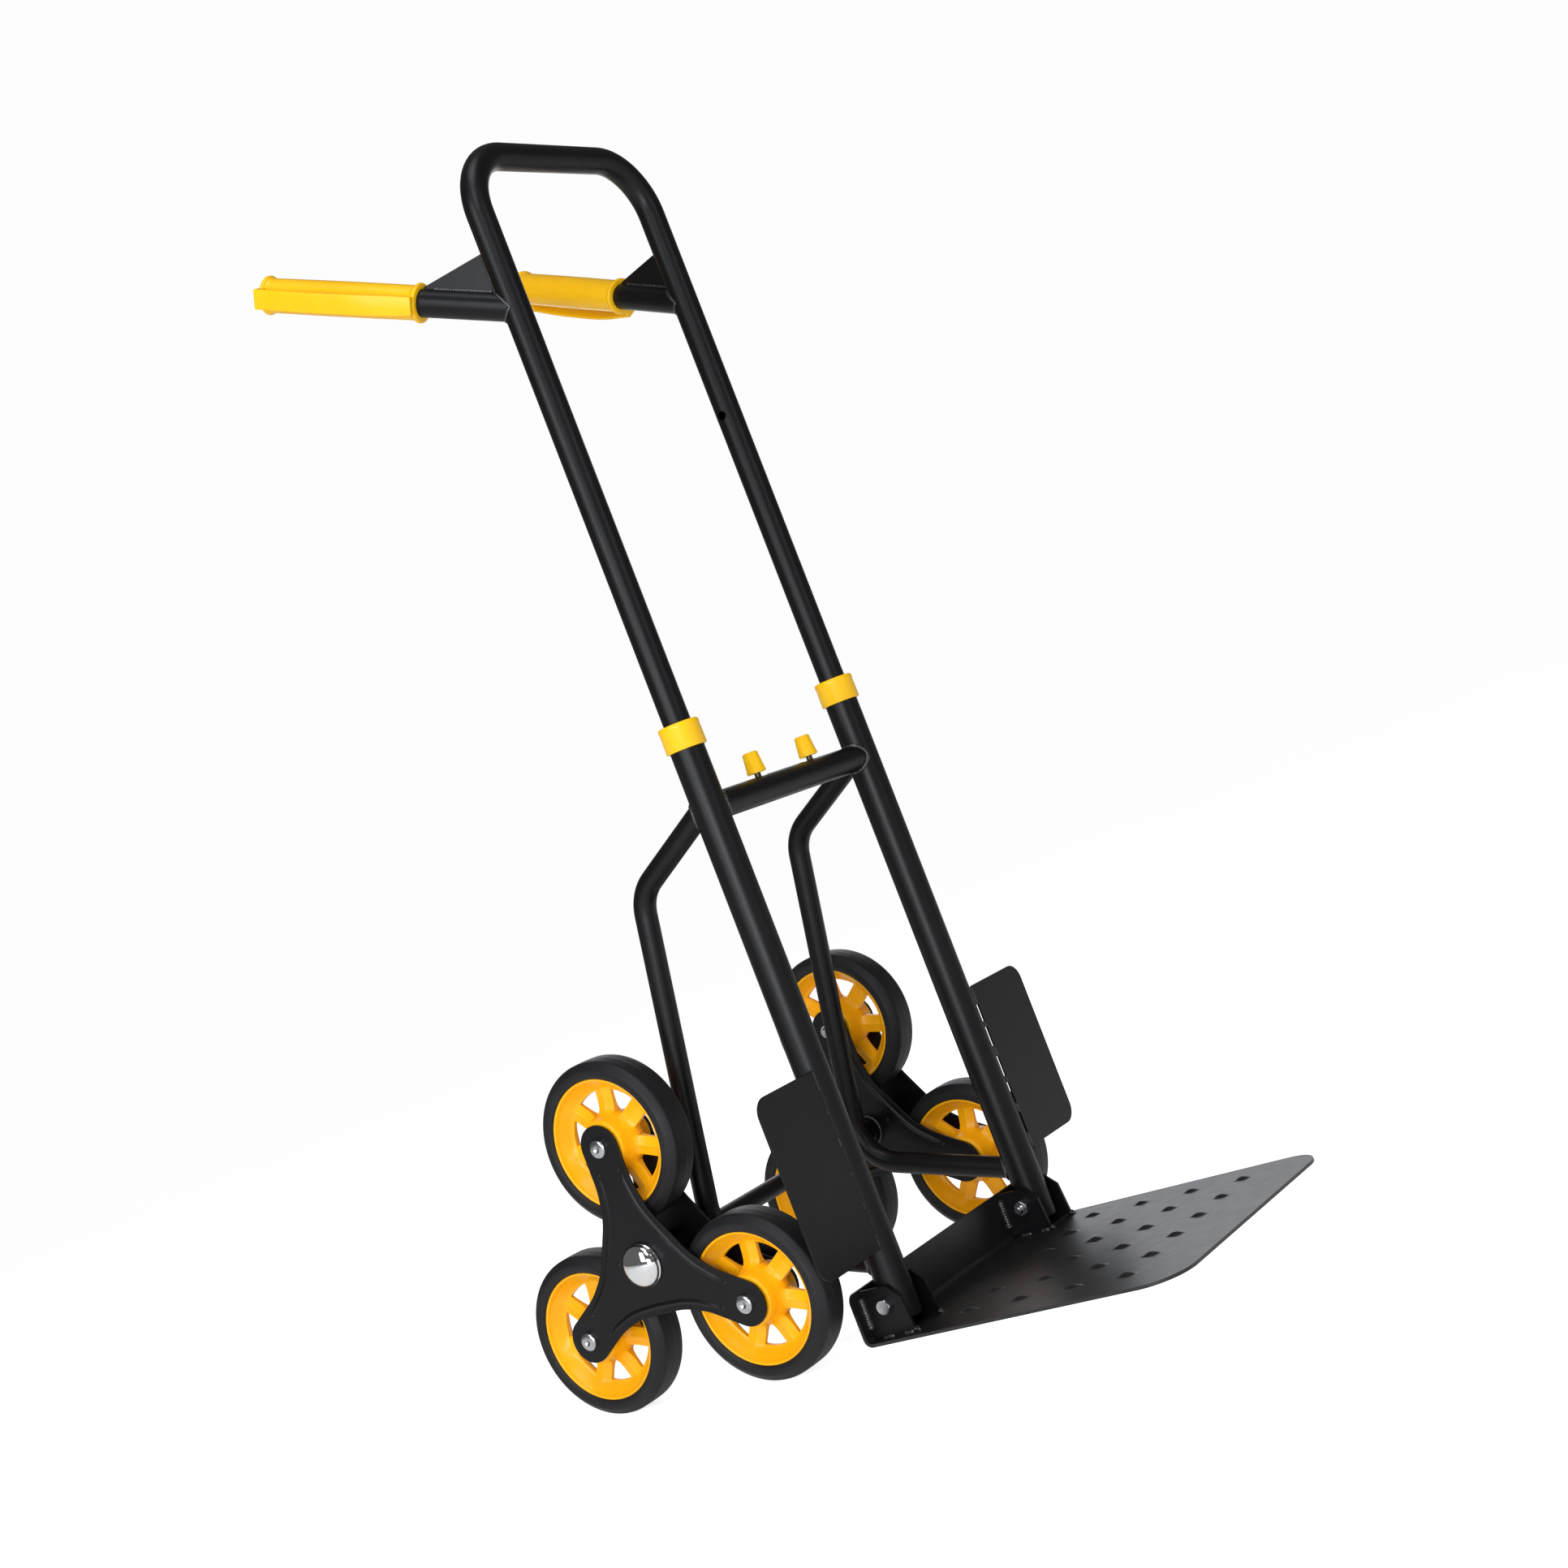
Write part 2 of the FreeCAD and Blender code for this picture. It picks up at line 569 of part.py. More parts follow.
# ---------------------------------------------------------------- handle lock
def lock_parts(side, sign):
    """Pin with its piston and stem, the yellow knob on top and the spring behind it."""
    axis = at(0, 0, size("bar_height"))
    knob = axis + X_AXIS * (sign * size("knob_offset"))
    pin = cylinder("Pin", "Sizes.pin_od / 2",
                   "Sizes.half_spacing - Sizes.tube_bore / 2 - Sizes.knob_offset",
                   knob, X_AXIS * sign)
    piston = cylinder("Piston", "Sizes.bar_bore / 2 - Sizes.slide_gap", "Sizes.piston_length",
                      knob, X_AXIS * sign, value("Sizes.piston_length / 2"))
    stem = cylinder("Stem", "Sizes.stem_od / 2",
                    "Sizes.bar_od / 2 + Sizes.knob_clear", knob, Z_AXIS)
    slider = doc.addObject("Part::MultiFuse", "lock_slider_" + side)
    slider.Shapes = [pin, piston, stem]
    keep(slider, "lock_slider_" + side)

    body = new_body("lock_knob_" + side)
    profile = new_sketch(body, "XZ_Plane", "KnobProfile")
    add_polygon(profile, [
        ("0", "0"),
        ("Sizes.knob_low_od / 2 - 1", "0"),
        ("Sizes.knob_low_od / 2", "1"),
        ("Sizes.knob_low_od / 2", "4"),
        ("Sizes.knob_top_od / 2", "Sizes.knob_height - Sizes.knob_bevel"),
        ("Sizes.knob_top_od / 2 - Sizes.knob_bevel", "Sizes.knob_height"),
        ("0", "Sizes.knob_height"),
    ])
    revolve(body, profile)
    top = size("bar_height") + size("bar_od") / 2 + size("knob_clear")
    body.Placement = FreeCAD.Placement(at(sign * size("knob_offset"), 0, top), FreeCAD.Rotation())

    wire = size("spring_wire") / 2
    start = size("stop_length") / 2 + wire + size("end_play")
    end = size("knob_offset") - size("piston_length") / 2 - wire - size("end_play")
    radius = size("spring_od") / 2 - wire
    helix = Part.makeHelix((end - start) / size("spring_turns"), end - start, radius)
    circle = Part.Wire(Part.makeCircle(wire, at(radius, 0, 0), Y_AXIS))
    coil = Part.Wire(helix).makePipeShell([circle], True, False)
    spring = doc.addObject("Part::Feature", "lock_spring_" + side)
    spring.Shape = coil
    place_along(spring, "Placement", axis + X_AXIS * sign * start, X_AXIS * sign)
    keep(spring, "lock_spring_" + side)


def lock_stop():
    """Plug in the middle of the crossbar that both springs push against."""
    axis = at(0, 0, size("bar_height"))
    plug = cylinder("lock_stop", "Sizes.bar_bore / 2", "Sizes.stop_length", axis, X_AXIS,
                    value("Sizes.stop_length / 2"))
    keep(plug, "lock_stop")


# ---------------------------------------------------------------- sliding handle
def handle_tube():
    """One tube bent into a U, with a lock hole near each end and one above each."""
    left = "-Sizes.half_spacing"
    right = "Sizes.half_spacing"
    points = [(left, cell("handle_foot")), (left, cell("handle_top")),
              (right, cell("handle_top")), (right, cell("handle_foot"))]
    bend = cell("handle_bend")
    body = pipe_body("handle_tube", "XZ_Plane", None, points, [bend, bend],
                     "Sizes.upper_od / 2", "Sizes.upper_bore / 2")
    for side, sign in SIDES:
        for rise in (0.0, size("travel")):
            hole = at(sign * (HALF - size("upper_od") / 2), 0, size("bar_height") + rise)
            cut_round(body, "Sizes.pin_od / 2 + 0.4", "Sizes.upper_od / 2", hole, X_AXIS)


def handle_guide(side, sign):
    """Plastic guide on the lower end of the sliding tube."""
    foot = at(sign * HALF, 0, size("handle_foot"))
    outer = cylinder("Sleeve", "Sizes.tube_bore / 2 - Sizes.slide_gap", "Sizes.guide_height",
                     foot, Z_AXIS, size("guide_lip"))
    tube = cylinder("Leg", "Sizes.upper_od / 2", "Sizes.guide_height", foot, Z_AXIS)
    ring = boolean("Cut", outer, tube)
    bore = cylinder("Bore", "Sizes.upper_bore / 2", "Sizes.guide_height", foot, Z_AXIS,
                    2 * size("guide_lip"))
    keep(boolean("Cut", ring, bore, "handle_guide_" + side), "handle_guide_" + side)


def stub_direction(sign):
    rise = math.radians(size("stub_rise"))
    splay = math.radians(size("stub_splay"))
    return at(sign * math.cos(rise) * math.sin(splay), math.cos(rise) * math.cos(splay),
              math.sin(rise))


def stub_frame(sign, turn=0.0):
    """Placement whose +Z runs along the rear handle and whose +X points away below it."""
    direction = stub_direction(sign)
    outward = direction.cross(Z_AXIS).normalize() * sign
    down = direction.cross(outward).normalize() * sign
    angle = math.radians(turn)
    facing = down * math.cos(angle) + outward * math.sin(angle)
    across = direction.cross(facing)
    base = at(sign * HALF, 0, size("stub_height"))
    rotation = FreeCAD.Rotation(facing, across, direction, "ZXY")
    return FreeCAD.Placement(base, rotation)


def rear_handle(side, sign):
    """Tube that runs back and up from the sliding tube."""
    base = at(sign * HALF, 0, size("stub_height"))
    direction = stub_direction(sign)
    outer = cylinder("StubOuter", "Sizes.upper_od / 2", "Sizes.stub_length", base, direction)
    bore = cylinder("StubBore", "Sizes.upper_bore / 2", "Sizes.stub_length", base, direction)
    leg = cylinder("StubCope", "Sizes.upper_od / 2", cell("grip_start"), base, Z_AXIS,
                   size("grip_start") / 2)
    pipe = boolean("Cut", outer, bore)
    keep(boolean("Cut", pipe, leg, "rear_handle_" + side), "rear_handle_" + side)


def gusset(side, sign):
    """Triangular plate between the sliding tube and the rear handle."""
    direction = stub_direction(sign)
    level = at(direction.x, direction.y, 0).normalize()
    base = at(sign * HALF, 0, size("stub_height"))
    radius = size("upper_od") / 2
    foot = base + direction * size("gusset_reach")
    lift = radius / math.cos(math.radians(size("stub_rise"))) + size("gusset_blunt")
    corner = base + Z_AXIS * (size("gusset_top") - size("stub_height"))
    half = level.cross(Z_AXIS).normalize() * (size("gusset_sheet") / 2)
    ring = [p - half for p in (base, foot, foot + Z_AXIS * lift, corner, base)]
    solid = Part.Face(Part.makePolygon(ring)).extrude(half * 2)
    solid = solid.cut(Part.makeCylinder(radius, size("gusset_reach"), base, Z_AXIS))
    solid = solid.cut(Part.makeCylinder(radius, size("stub_length"), base, direction))
    thing = doc.addObject("Part::Feature", "gusset_" + side)
    thing.Shape = max(solid.Solids, key=lambda s: s.Volume)
    keep(thing, "gusset_" + side)


def soft_grip(side, sign):
    """Soft sleeve with end flanges and an arched knuckle guard along one side."""
    body = new_body("soft_grip_" + side)
    profile = new_sketch(body, "XZ_Plane", "SleeveProfile")
    tube = "Sizes.upper_od / 2"
    skin = "Sizes.grip_od / 2"
    flange = "Sizes.grip_flange_od / 2"
    start = cell("grip_start")
    end = cell("grip_end")
    add_polygon(profile, [
        (tube, start),
        (flange + " - 1", start),
        (flange, start + " + 1"),
        (flange, start + " + Sizes.grip_flange"),
        (skin, start + " + 1.6 * Sizes.grip_flange"),
        (skin, end + " - 1.6 * Sizes.grip_flange"),
        (flange, end + " - Sizes.grip_flange"),
        (flange, end + " - 1"),
        (flange + " - 1", end),
        ("0", end),
        ("0", "Sizes.stub_length"),
        (tube, "Sizes.stub_length"),
    ])
    revolve(body, profile)

    # the band's outer line from the front end of the grip, then its inner line back
    band = new_sketch(body, "XZ_Plane", "GuardOutline")
    root = skin + " - 1"
    arch = "%s + Sizes.guard_rise * %.2f"
    inside = arch + " - Sizes.guard_thick"
    add_polygon(band, [
        (root, start),
        (arch % (skin, 0.36), start),
        (arch % (skin, 0.61), start + " + 22"),
        (arch % (skin, 0.93), start + " + 42"),
        (arch % (skin, 1), start + " + 70"),
        (arch % (skin, 1), end + " - 42"),
        (arch % (skin, 0.79), end + " - 22"),
        (arch % (skin, 0.68), end),
        (root, end),
        (root, end + " - 6"),
        (inside % (skin, 0.65), end + " - 6"),
        (inside % (skin, 0.72), end + " - 24"),
        (inside % (skin, 1), end + " - 44"),
        (inside % (skin, 1), start + " + 70"),
        (inside % (skin, 0.93), start + " + 44"),
        (inside % (skin, 0.61), start + " + 24"),
        (root, start + " + 12"),
    ])
    pad(body, band, cell("guard_width"), midplane=True)
    hollow = new_sketch(body, "XY_Plane", "TubeBore", start)
    add_circle(hollow, "0", "0", tube)
    pocket(body, hollow, "Sizes.stub_length - Sizes.grip_start", backwards=True)
    body.Placement = stub_frame(sign, size("guard_turn_" + side))


# ---------------------------------------------------------------- toe plate
def toe_plate():
    """Bent sheet: a flat plate with rounded front corners and a low rear flange."""
    body = new_body("toe_plate")
    profile = new_sketch(body, "YZ_Plane", "PlateProfile")
    front = "-Sizes.plate_front"
    back = cell("plate_back")
    sheet_y = "Sizes.plate_back - Sizes.plate_sheet"
    add_polygon(profile, [
        (front, "0"),
        (back, "0"),
        (back, cell("plate_rise")),
        (sheet_y, cell("plate_rise")),
        (sheet_y, cell("plate_sheet")),
        (front, cell("plate_sheet")),
    ])
    bent = pad(body, profile, cell("plate_width"), midplane=True)

    def outer_bend(edge):
        p = edge.Vertexes[0].Point
        return is_along(X_AXIS)(edge) and abs(p.z) < 1e-6 and p.y > 0
    outer = soften(body, bent, outer_bend, cell("plate_bend"))

    def inner_bend(edge):
        p = edge.Vertexes[0].Point
        inside = abs(p.z - size("plate_sheet")) < 1e-6 and p.y > 0
        return is_along(X_AXIS)(edge) and inside
    inner = soften(body, outer, inner_bend, "Sizes.plate_bend - Sizes.plate_sheet")

    def front_corner(edge):
        return is_along(Z_AXIS)(edge) and edge.Vertexes[0].Y < -size("plate_front") + 1
    corners = soften(body, inner, front_corner, cell("plate_corner"))

    def flange_corner(edge):
        return is_along(Y_AXIS)(edge) and edge.Vertexes[0].Z > size("plate_rise") - 1
    soften(body, corners, flange_corner, cell("flange_corner"))


def hinge_bracket(side, sign):
    """U-shaped bracket: a web on the toe plate and two ears around the main tube."""
    body = new_body("hinge_bracket_" + side)
    ears = new_sketch(body, "YZ_Plane", "EarOutline", "%d * Sizes.half_spacing" % sign)
    back = "(Sizes.plate_back - Sizes.plate_sheet)"
    top = "(Sizes.plate_rise - 1)"
    lean = "-Sizes.ear_front + Sizes.ear_lean"
    add_polygon(ears, [
        ("-Sizes.ear_front", cell("plate_sheet")),
        (back + " - (Sizes.plate_bend - Sizes.plate_sheet)", cell("plate_sheet")),
        (back, cell("plate_bend")),
        (back, top),
        (lean + " + Sizes.ear_chamfer", top),
        (lean, top + " - Sizes.ear_chamfer"),
    ])
    pad(body, ears, "Sizes.ear_gap + 2 * Sizes.ear_sheet", midplane=True)
    space = new_sketch(body, "YZ_Plane", "EarGap", "%d * Sizes.half_spacing" % sign)
    add_box(space, "-2 * Sizes.ear_front", "Sizes.plate_sheet + Sizes.ear_web", "2 * " + back,
            "2 * Sizes.plate_rise")
    pocket(body, space, cell("ear_gap"), midplane=True)
    hinge = at(sign * HALF, 0, size("hinge_height"))
    cut_round(body, "Sizes.hinge_bolt / 2", "3 * Sizes.ear_gap", hinge, X_AXIS)


def hinge_fasteners():
    """A hex bolt from the outside and a nut on the inside of each bracket."""
    reach = size("ear_gap") / 2 + size("ear_sheet")
    bolts = []
    nuts = []
    for side, sign in SIDES:
        pivot = at(sign * HALF, 0, size("hinge_height"))
        outside = X_AXIS * sign
        shank_end = reach + size("hinge_nut") + size("hinge_bolt_end")
        shank = Part.makeCylinder(size("hinge_bolt") / 2, reach + shank_end,
                                  pivot - outside * shank_end, outside)
        head = hexagon(size("hinge_flats"), size("hinge_head"), pivot + outside * reach, outside)
        bolts.append(shank.fuse(head).removeSplitter())
        nut = hexagon(size("hinge_flats"), size("hinge_nut"), pivot - outside * reach,
                      outside * -1)
        nuts.append(nut.cut(shank))
    group(bolts, "hinge_bolts")
    group(nuts, "hinge_nuts")


# ---------------------------------------------------------------- wheel carriers
def on_arm(across, along, turn):
    """A point beside an arm's middle line, as expressions; turn is the arm's angle from +Y."""
    x = "(%s) * cos(%d) + (%s) * sin(%d)" % (across, turn, along, turn)
    y = "(%s) * cos(%d) - (%s) * sin(%d)" % (along, turn, across, turn)
    return x, y


def carrier_outline():
    """Corners of the three-armed plate, clockwise from the arm along +Y."""
    straight = "(Sizes.arm - Sizes.arm_straight)"
    points = []
    for turn in (0, 120, 240):
        points.append(on_arm("-Sizes.tip_radius", straight, turn))
        points.append(on_arm("-Sizes.tip_radius", cell("arm"), turn))
        points.append(on_arm("Sizes.tip_radius", cell("arm"), turn))
        points.append(on_arm("Sizes.tip_radius", straight, turn))
        points.append(on_arm("-Sizes.flank_half", cell("flank"), turn + 60))
        points.append(on_arm("Sizes.flank_half", cell("flank"), turn + 60))
    return points


def carrier_rib(body):
    """A raised rib that follows the lower flank from arm to arm, repeated on the others."""
    straight = "(Sizes.arm - Sizes.arm_straight)"
    beside = "(Sizes.tip_radius - Sizes.rib_inset)"
    inside = "(Sizes.flank - Sizes.rib_inset)"
    line = new_sketch(body, "XY_Plane", "RibLine",
                      "Sizes.star_sheet + Sizes.rib_height - Sizes.rib_round")
    bend = cell("flank_bend")
    add_path(line, [
        on_arm(beside, cell("rib_reach"), 120),
        on_arm(beside, straight, 120),
        on_arm("-Sizes.flank_half", inside, 180),
        on_arm("Sizes.flank_half", inside, 180),
        on_arm("-" + beside, straight, 240),
        on_arm("-" + beside, cell("rib_reach"), 240),
    ], [bend, bend, bend, bend])
    doc.recompute()
    section = body.newObject("Sketcher::SketchObject", "RibSection")
    section.AttachmentSupport = [(line, "Edge1")]
    section.MapMode = "NormalToEdge"
    add_circle(section, "0", "0", cell("rib_round"))
    doc.recompute()
    rib = body.newObject("PartDesign::AdditivePipe", "Rib")
    rib.Profile = section
    rib.Spine = (line, [])
    body.Tip = rib
    doc.recompute()
    pattern(body, [rib], "Z_Axis", "3")


def carrier_plate(side, sign, layer):
    """Stamped plate of a wheel carrier, its ribs on the face away from the wheels."""
    body = new_body("carrier_%s_%s" % (layer, side))
    outline = new_sketch(body, "XY_Plane", "Outline")
    add_polygon(outline, carrier_outline())
    plate = pad(body, outline, cell("star_sheet"))
    tips = math.hypot(size("arm"), size("tip_radius"))

    def blend(edge):
        p = edge.Vertexes[0].Point
        return is_along(Z_AXIS)(edge) and math.hypot(p.x, p.y) < tips - 1
    soften(body, plate, blend, cell("flank_bend"))
    tip = new_sketch(body, "XY_Plane", "Tip")
    add_circle(tip, "0", cell("arm"), cell("tip_radius"))
    tip_pad = pad(body, tip, cell("star_sheet"))
    pattern(body, [tip_pad], "Z_Axis", "3")
    hole = new_sketch(body, "XY_Plane", "BoltHole")
    add_circle(hole, "0", cell("arm"), "Sizes.wheel_bolt / 2")
    hole_cut = pocket(body, hole, midplane=True)
    pattern(body, [hole_cut], "Z_Axis", "3")
    centre = new_sketch(body, "XY_Plane", "Centre")
    radius = "Sizes.star_hub_od / 2" if layer == "inner" else "Sizes.axle_od / 2 + 0.5"
    add_circle(centre, "0", "0", radius)
    pocket(body, centre, midplane=True)
    carrier_rib(body)
    face = 1 if layer == "outer" else -1
    base = at(sign * (size("star_plane") + face * STAR_HALF), size("axle_y"), AXLE_Z)
    outward = X_AXIS * sign * face
    across = Z_AXIS.cross(outward)
    body.Placement = FreeCAD.Placement(base, FreeCAD.Rotation(across, Z_AXIS, outward, "ZXY"))


def carrier_hub(side, sign):
    """Sleeve that turns on the axle rod and joins the carrier's two plates."""
    inner = size("star_plane") - STAR_HALF - size("star_sheet") - size("hub_past")
    base = at(sign * inner, size("axle_y"), AXLE_Z)
    length = "Sizes.star_gap + Sizes.star_sheet + Sizes.hub_past"
    sleeve = cylinder("Sleeve", "Sizes.star_hub_od / 2", length, base, X_AXIS * sign)
    bore = cylinder("Bore", "Sizes.axle_od / 2 + Sizes.slide_gap", length, base, X_AXIS * sign)
    keep(boolean("Cut", sleeve, bore, "carrier_hub_" + side), "carrier_hub_" + side)


def wheel_centre(sign, index):
    turn = math.radians(ARM_DEGREES[index])
    return at(sign * size("star_plane"), size("axle_y") + size("arm") * math.sin(turn),
              AXLE_Z + size("arm") * math.cos(turn))


def carrier_fasteners(side, sign):
    """Three round-headed wheel bolts and their hex nuts."""
    bolts = []
    nuts = []
    outside = X_AXIS * sign
    reach = STAR_HALF + size("star_sheet")
    tail = reach + size("nut_height") + size("bolt_end")
    top = size("star_plane") + reach + size("wheel_head")
    for index in range(3):
        middle = wheel_centre(sign, index)
        shank = Part.makeCylinder(size("wheel_bolt") / 2, reach + tail, middle - outside * tail,
                                  outside)
        head = Part.makeCylinder(size("wheel_head_od") / 2, size("wheel_head"),
                                 middle + outside * reach, outside)
        rim = [e for e in head.Edges if abs(abs(e.CenterOfMass.x) - top) < 1e-6]
        head = head.makeFillet(size("head_round"), rim)
        bolts.append(shank.fuse(head).removeSplitter())
        nut = hexagon(size("nut_flats"), size("nut_height"), middle - outside * reach,
                      outside * -1)
        nuts.append(nut.cut(shank))
    group(bolts, "wheel_bolts_" + side)
    group(nuts, "wheel_nuts_" + side)


def wheel(side, sign, index):
    """Plastic hub with seven windows, and the rubber tyre on it."""
    name = "%s_%d" % (side, index + 1)
    place = FreeCAD.Placement(wheel_centre(sign, index), FreeCAD.Rotation(Z_AXIS, X_AXIS * sign))
    hub = new_body("wheel_hub_" + name)
    web = new_sketch(hub, "XY_Plane", "Web")
    add_circle(web, "0", "0", "Sizes.hub_od / 2 - 1")
    pad(hub, web, cell("web_thick"), midplane=True)
    window = new_sketch(hub, "XY_Plane", "Window")
    add_polygon(window, [
        ("-Sizes.window_foot / 2", cell("window_inner")),
        ("-Sizes.window_head / 2", cell("window_outer")),
        ("Sizes.window_head / 2", cell("window_outer")),
        ("Sizes.window_foot / 2", cell("window_inner")),
    ])
    opening = pocket(hub, window, midplane=True)
    doc.recompute()
    pattern(hub, [opening], "Z_Axis", cell("spokes"))
    dish = new_sketch(hub, "XY_Plane", "Dish")
    add_circle(dish, "0", "0", "Sizes.hub_od / 2 - 1")
    add_circle(dish, "0", "0", cell("window_outer"))
    pad(hub, dish, cell("web_thick"), midplane=True)
    rim = new_sketch(hub, "XY_Plane", "Rim")
    add_circle(rim, "0", "0", "Sizes.hub_od / 2")
    add_circle(rim, "0", "0", "Sizes.hub_od / 2 - Sizes.rim_wall")
    pad(hub, rim, cell("rim_width"), midplane=True)
    boss = new_sketch(hub, "XY_Plane", "Boss")
    add_circle(boss, "0", "0", "Sizes.boss_od / 2")
    pad(hub, boss, "Sizes.star_gap - 2 * Sizes.end_play", midplane=True)
    bore = new_sketch(hub, "XY_Plane", "Bore")
    add_circle(bore, "0", "0", "Sizes.wheel_bolt / 2 + Sizes.slide_gap")
    pocket(hub, bore, midplane=True)
    hub.Placement = place

    tyre = new_body("tyre_" + name)
    profile = new_sketch(tyre, "XZ_Plane", "TyreProfile")
    half = "Sizes.tyre_width / 2"
    outer = "Sizes.wheel_od / 2"
    seat = "Sizes.hub_od / 2"
    # one side of the section, from the bead over the shoulder to the tread
    shoulder = [
        (seat, half + " - 1"),
        (seat + " + 2", half),
        (outer + " - Sizes.tyre_bevel - Sizes.tyre_round", half),
        (outer + " - Sizes.tyre_bevel + Sizes.tyre_round / 2", half + " - Sizes.tyre_round"),
        (outer + " - Sizes.tyre_round / 2", half + " - Sizes.tyre_bevel"),
        (outer, half + " - Sizes.tyre_bevel - 1.5 * Sizes.tyre_round"),
    ]
    mirrored = [(x, "-(%s)" % y) for x, y in reversed(shoulder)]
    add_polygon(profile, shoulder + mirrored)
    revolve(tyre, profile)
    tyre.Placement = place


# ---------------------------------------------------------------- build
crossbar()
lock_stop()
axle_parts()
handle_tube()
toe_plate()
hinge_fasteners()
for side, sign in SIDES:
    frame_tube(side, sign)
    collar(side, sign)
    rear_brace(side, sign)
    guard_flap(side, sign)
    lock_parts(side, sign)
    handle_guide(side, sign)
    rear_handle(side, sign)
    gusset(side, sign)
    soft_grip(side, sign)
    hinge_bracket(side, sign)
    carrier_plate(side, sign, "outer")
    carrier_plate(side, sign, "inner")
    carrier_hub(side, sign)
    carrier_fasteners(side, sign)
    for index in range(3):
        wheel(side, sign, index)
doc.recompute()

# ---------------------------------------------------------------- check and write
broken = [o.Name for o in doc.Objects if "Invalid" in o.State or "Error" in o.State]
if broken:
    raise RuntimeError("failed objects: %s" % broken)
for thing in PARTS:
    if thing.Shape.isNull() or not thing.Shape.isValid():
        raise RuntimeError("bad shape: %s" % thing.Label)
os.makedirs("parts", exist_ok=True)
for thing in PARTS:
    thing.Shape.exportStep("parts/%s.step" % thing.Label)
    box = thing.Shape.BoundBox
    print("%-22s solids %d volume %9.0f  x %7.1f %7.1f  y %7.1f %7.1f  z %7.1f %7.1f" % (
        thing.Label, len(thing.Shape.Solids), thing.Shape.Volume,
        box.XMin, box.XMax, box.YMin, box.YMax, box.ZMin, box.ZMax))
print("parts", len(PARTS))
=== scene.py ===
import json
import math

import bmesh
import bpy
from mathutils import Matrix, Vector, noise


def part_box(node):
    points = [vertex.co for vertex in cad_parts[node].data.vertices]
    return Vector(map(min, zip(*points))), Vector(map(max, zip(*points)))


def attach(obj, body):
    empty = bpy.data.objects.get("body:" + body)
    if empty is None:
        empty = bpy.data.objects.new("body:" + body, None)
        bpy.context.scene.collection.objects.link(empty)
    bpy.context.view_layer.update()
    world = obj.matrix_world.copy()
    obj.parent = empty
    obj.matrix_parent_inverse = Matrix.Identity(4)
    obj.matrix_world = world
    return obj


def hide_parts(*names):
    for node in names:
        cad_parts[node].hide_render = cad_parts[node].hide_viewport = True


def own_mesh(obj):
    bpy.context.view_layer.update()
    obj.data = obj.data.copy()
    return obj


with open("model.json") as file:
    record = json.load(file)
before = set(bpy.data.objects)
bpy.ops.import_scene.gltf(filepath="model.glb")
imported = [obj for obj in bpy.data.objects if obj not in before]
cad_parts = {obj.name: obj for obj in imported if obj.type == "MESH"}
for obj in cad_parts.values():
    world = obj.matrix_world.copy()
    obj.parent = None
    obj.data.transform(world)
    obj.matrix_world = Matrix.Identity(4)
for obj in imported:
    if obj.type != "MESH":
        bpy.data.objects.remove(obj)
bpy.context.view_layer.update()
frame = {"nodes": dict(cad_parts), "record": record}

# Stair climbing trolley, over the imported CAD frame. Sizes are in millimetres unless a name
# says otherwise; everything is turned into metres when a mesh or placement is made.
MM = 0.001
SIDES = (("left", -1), ("right", 1))
UP = Vector((0, 0, 1))

# ---- driving sizes
HALF = 127.0            # middle plane to each main tube
TUBE_R = 15.9
UPPER_R = 12.7
BAR_Z = 486.5           # height of the crossbar
BAR_R = 12.7
SPRING_TURNS = 5
BRACE_R = 10.5
BRACE_TOP = Vector((0, 0, 492))
BRACE_KNEE = Vector((0, 108, 438))
BRACE_HEEL = Vector((0, 177, 110))
BRACE_FOOT = Vector((0, 0, 62))
STUB_Z = 960.0
STUB_RISE = math.radians(27)
STUB_SPLAY = math.radians(14)
GRIP_START = 94.0
GRIP_END = 255.0
GRIP_R = 15.7
FLANGE_R = 18.0
GUSSET_HALF = 1.4
GUSSET_UP, GUSSET_ALONG = (20, 56), (24, 84)    # its weld seams, up the tube and along the handle
# the knuckle guard's band
BAND_WIDTH, BAND_WIDENS, BAND_THICK, BAND_CORNER = 16.4, 2.0, 3.4, 1.2
# how far the knuckle guards are turned, from straight down to outward
KNUCKLE_TURN = {"left": math.radians(77), "right": math.radians(40)}
AXLE = Vector((0, 184, 131))
AXLE_TUBE_R = 9.0
SLEEVE_R = 15.0         # carrier's hub sleeve
ARM = 110.0
STAR_X = 191.0          # middle plane to the middle of a wheel carrier
STAR_HALF = 24.0
STAR_SHEET = 2.5
TYRE_R = 76.0
HUB_R = 61.0
TYRE_HALF = 18.5
WINDOWS = 7
# how far each hub is turned on its bolt, in radians
HUB_SPIN = {"left": (0.59, 0.54, 0.56), "right": (0.42, 0.16, 0.27)}
GUARD_EDGE = 141.9      # middle plane to a wheel guard's inner edge
GUARD_SLIT = 1.9        # from that edge to the middle of its stitches
GUARD_Y = -10.7
GUARD_CORNER = 16.0
GUARD_STITCHES = ((77.5, 92), (112, 122), (143, 150), (170, 181), (200, 206), (223, 241.5))
PLATE_TOP = 3.0         # upper face of the toe plate
HINGE_Z = 30.0
EAR_FACE = (105.0, 149.0)   # middle plane to a hinge bracket's two outer faces
EAR_SHEET = 3.0
EAR_FRONT = -21.0
EAR_SEAMS = ((-19, -8), (2, 14))
FLANGE_Y = 23.2         # inner face of the toe plate's flange
FLANGE_SEAM = (12, 42)
BOLT_R = 4.0            # M8 bolts, their heads and nuts
PAN_R = 8.4
PAN_HEIGHT = 4.3
HEX_HEIGHT = 5.5
NUT_FLATS = 13.0
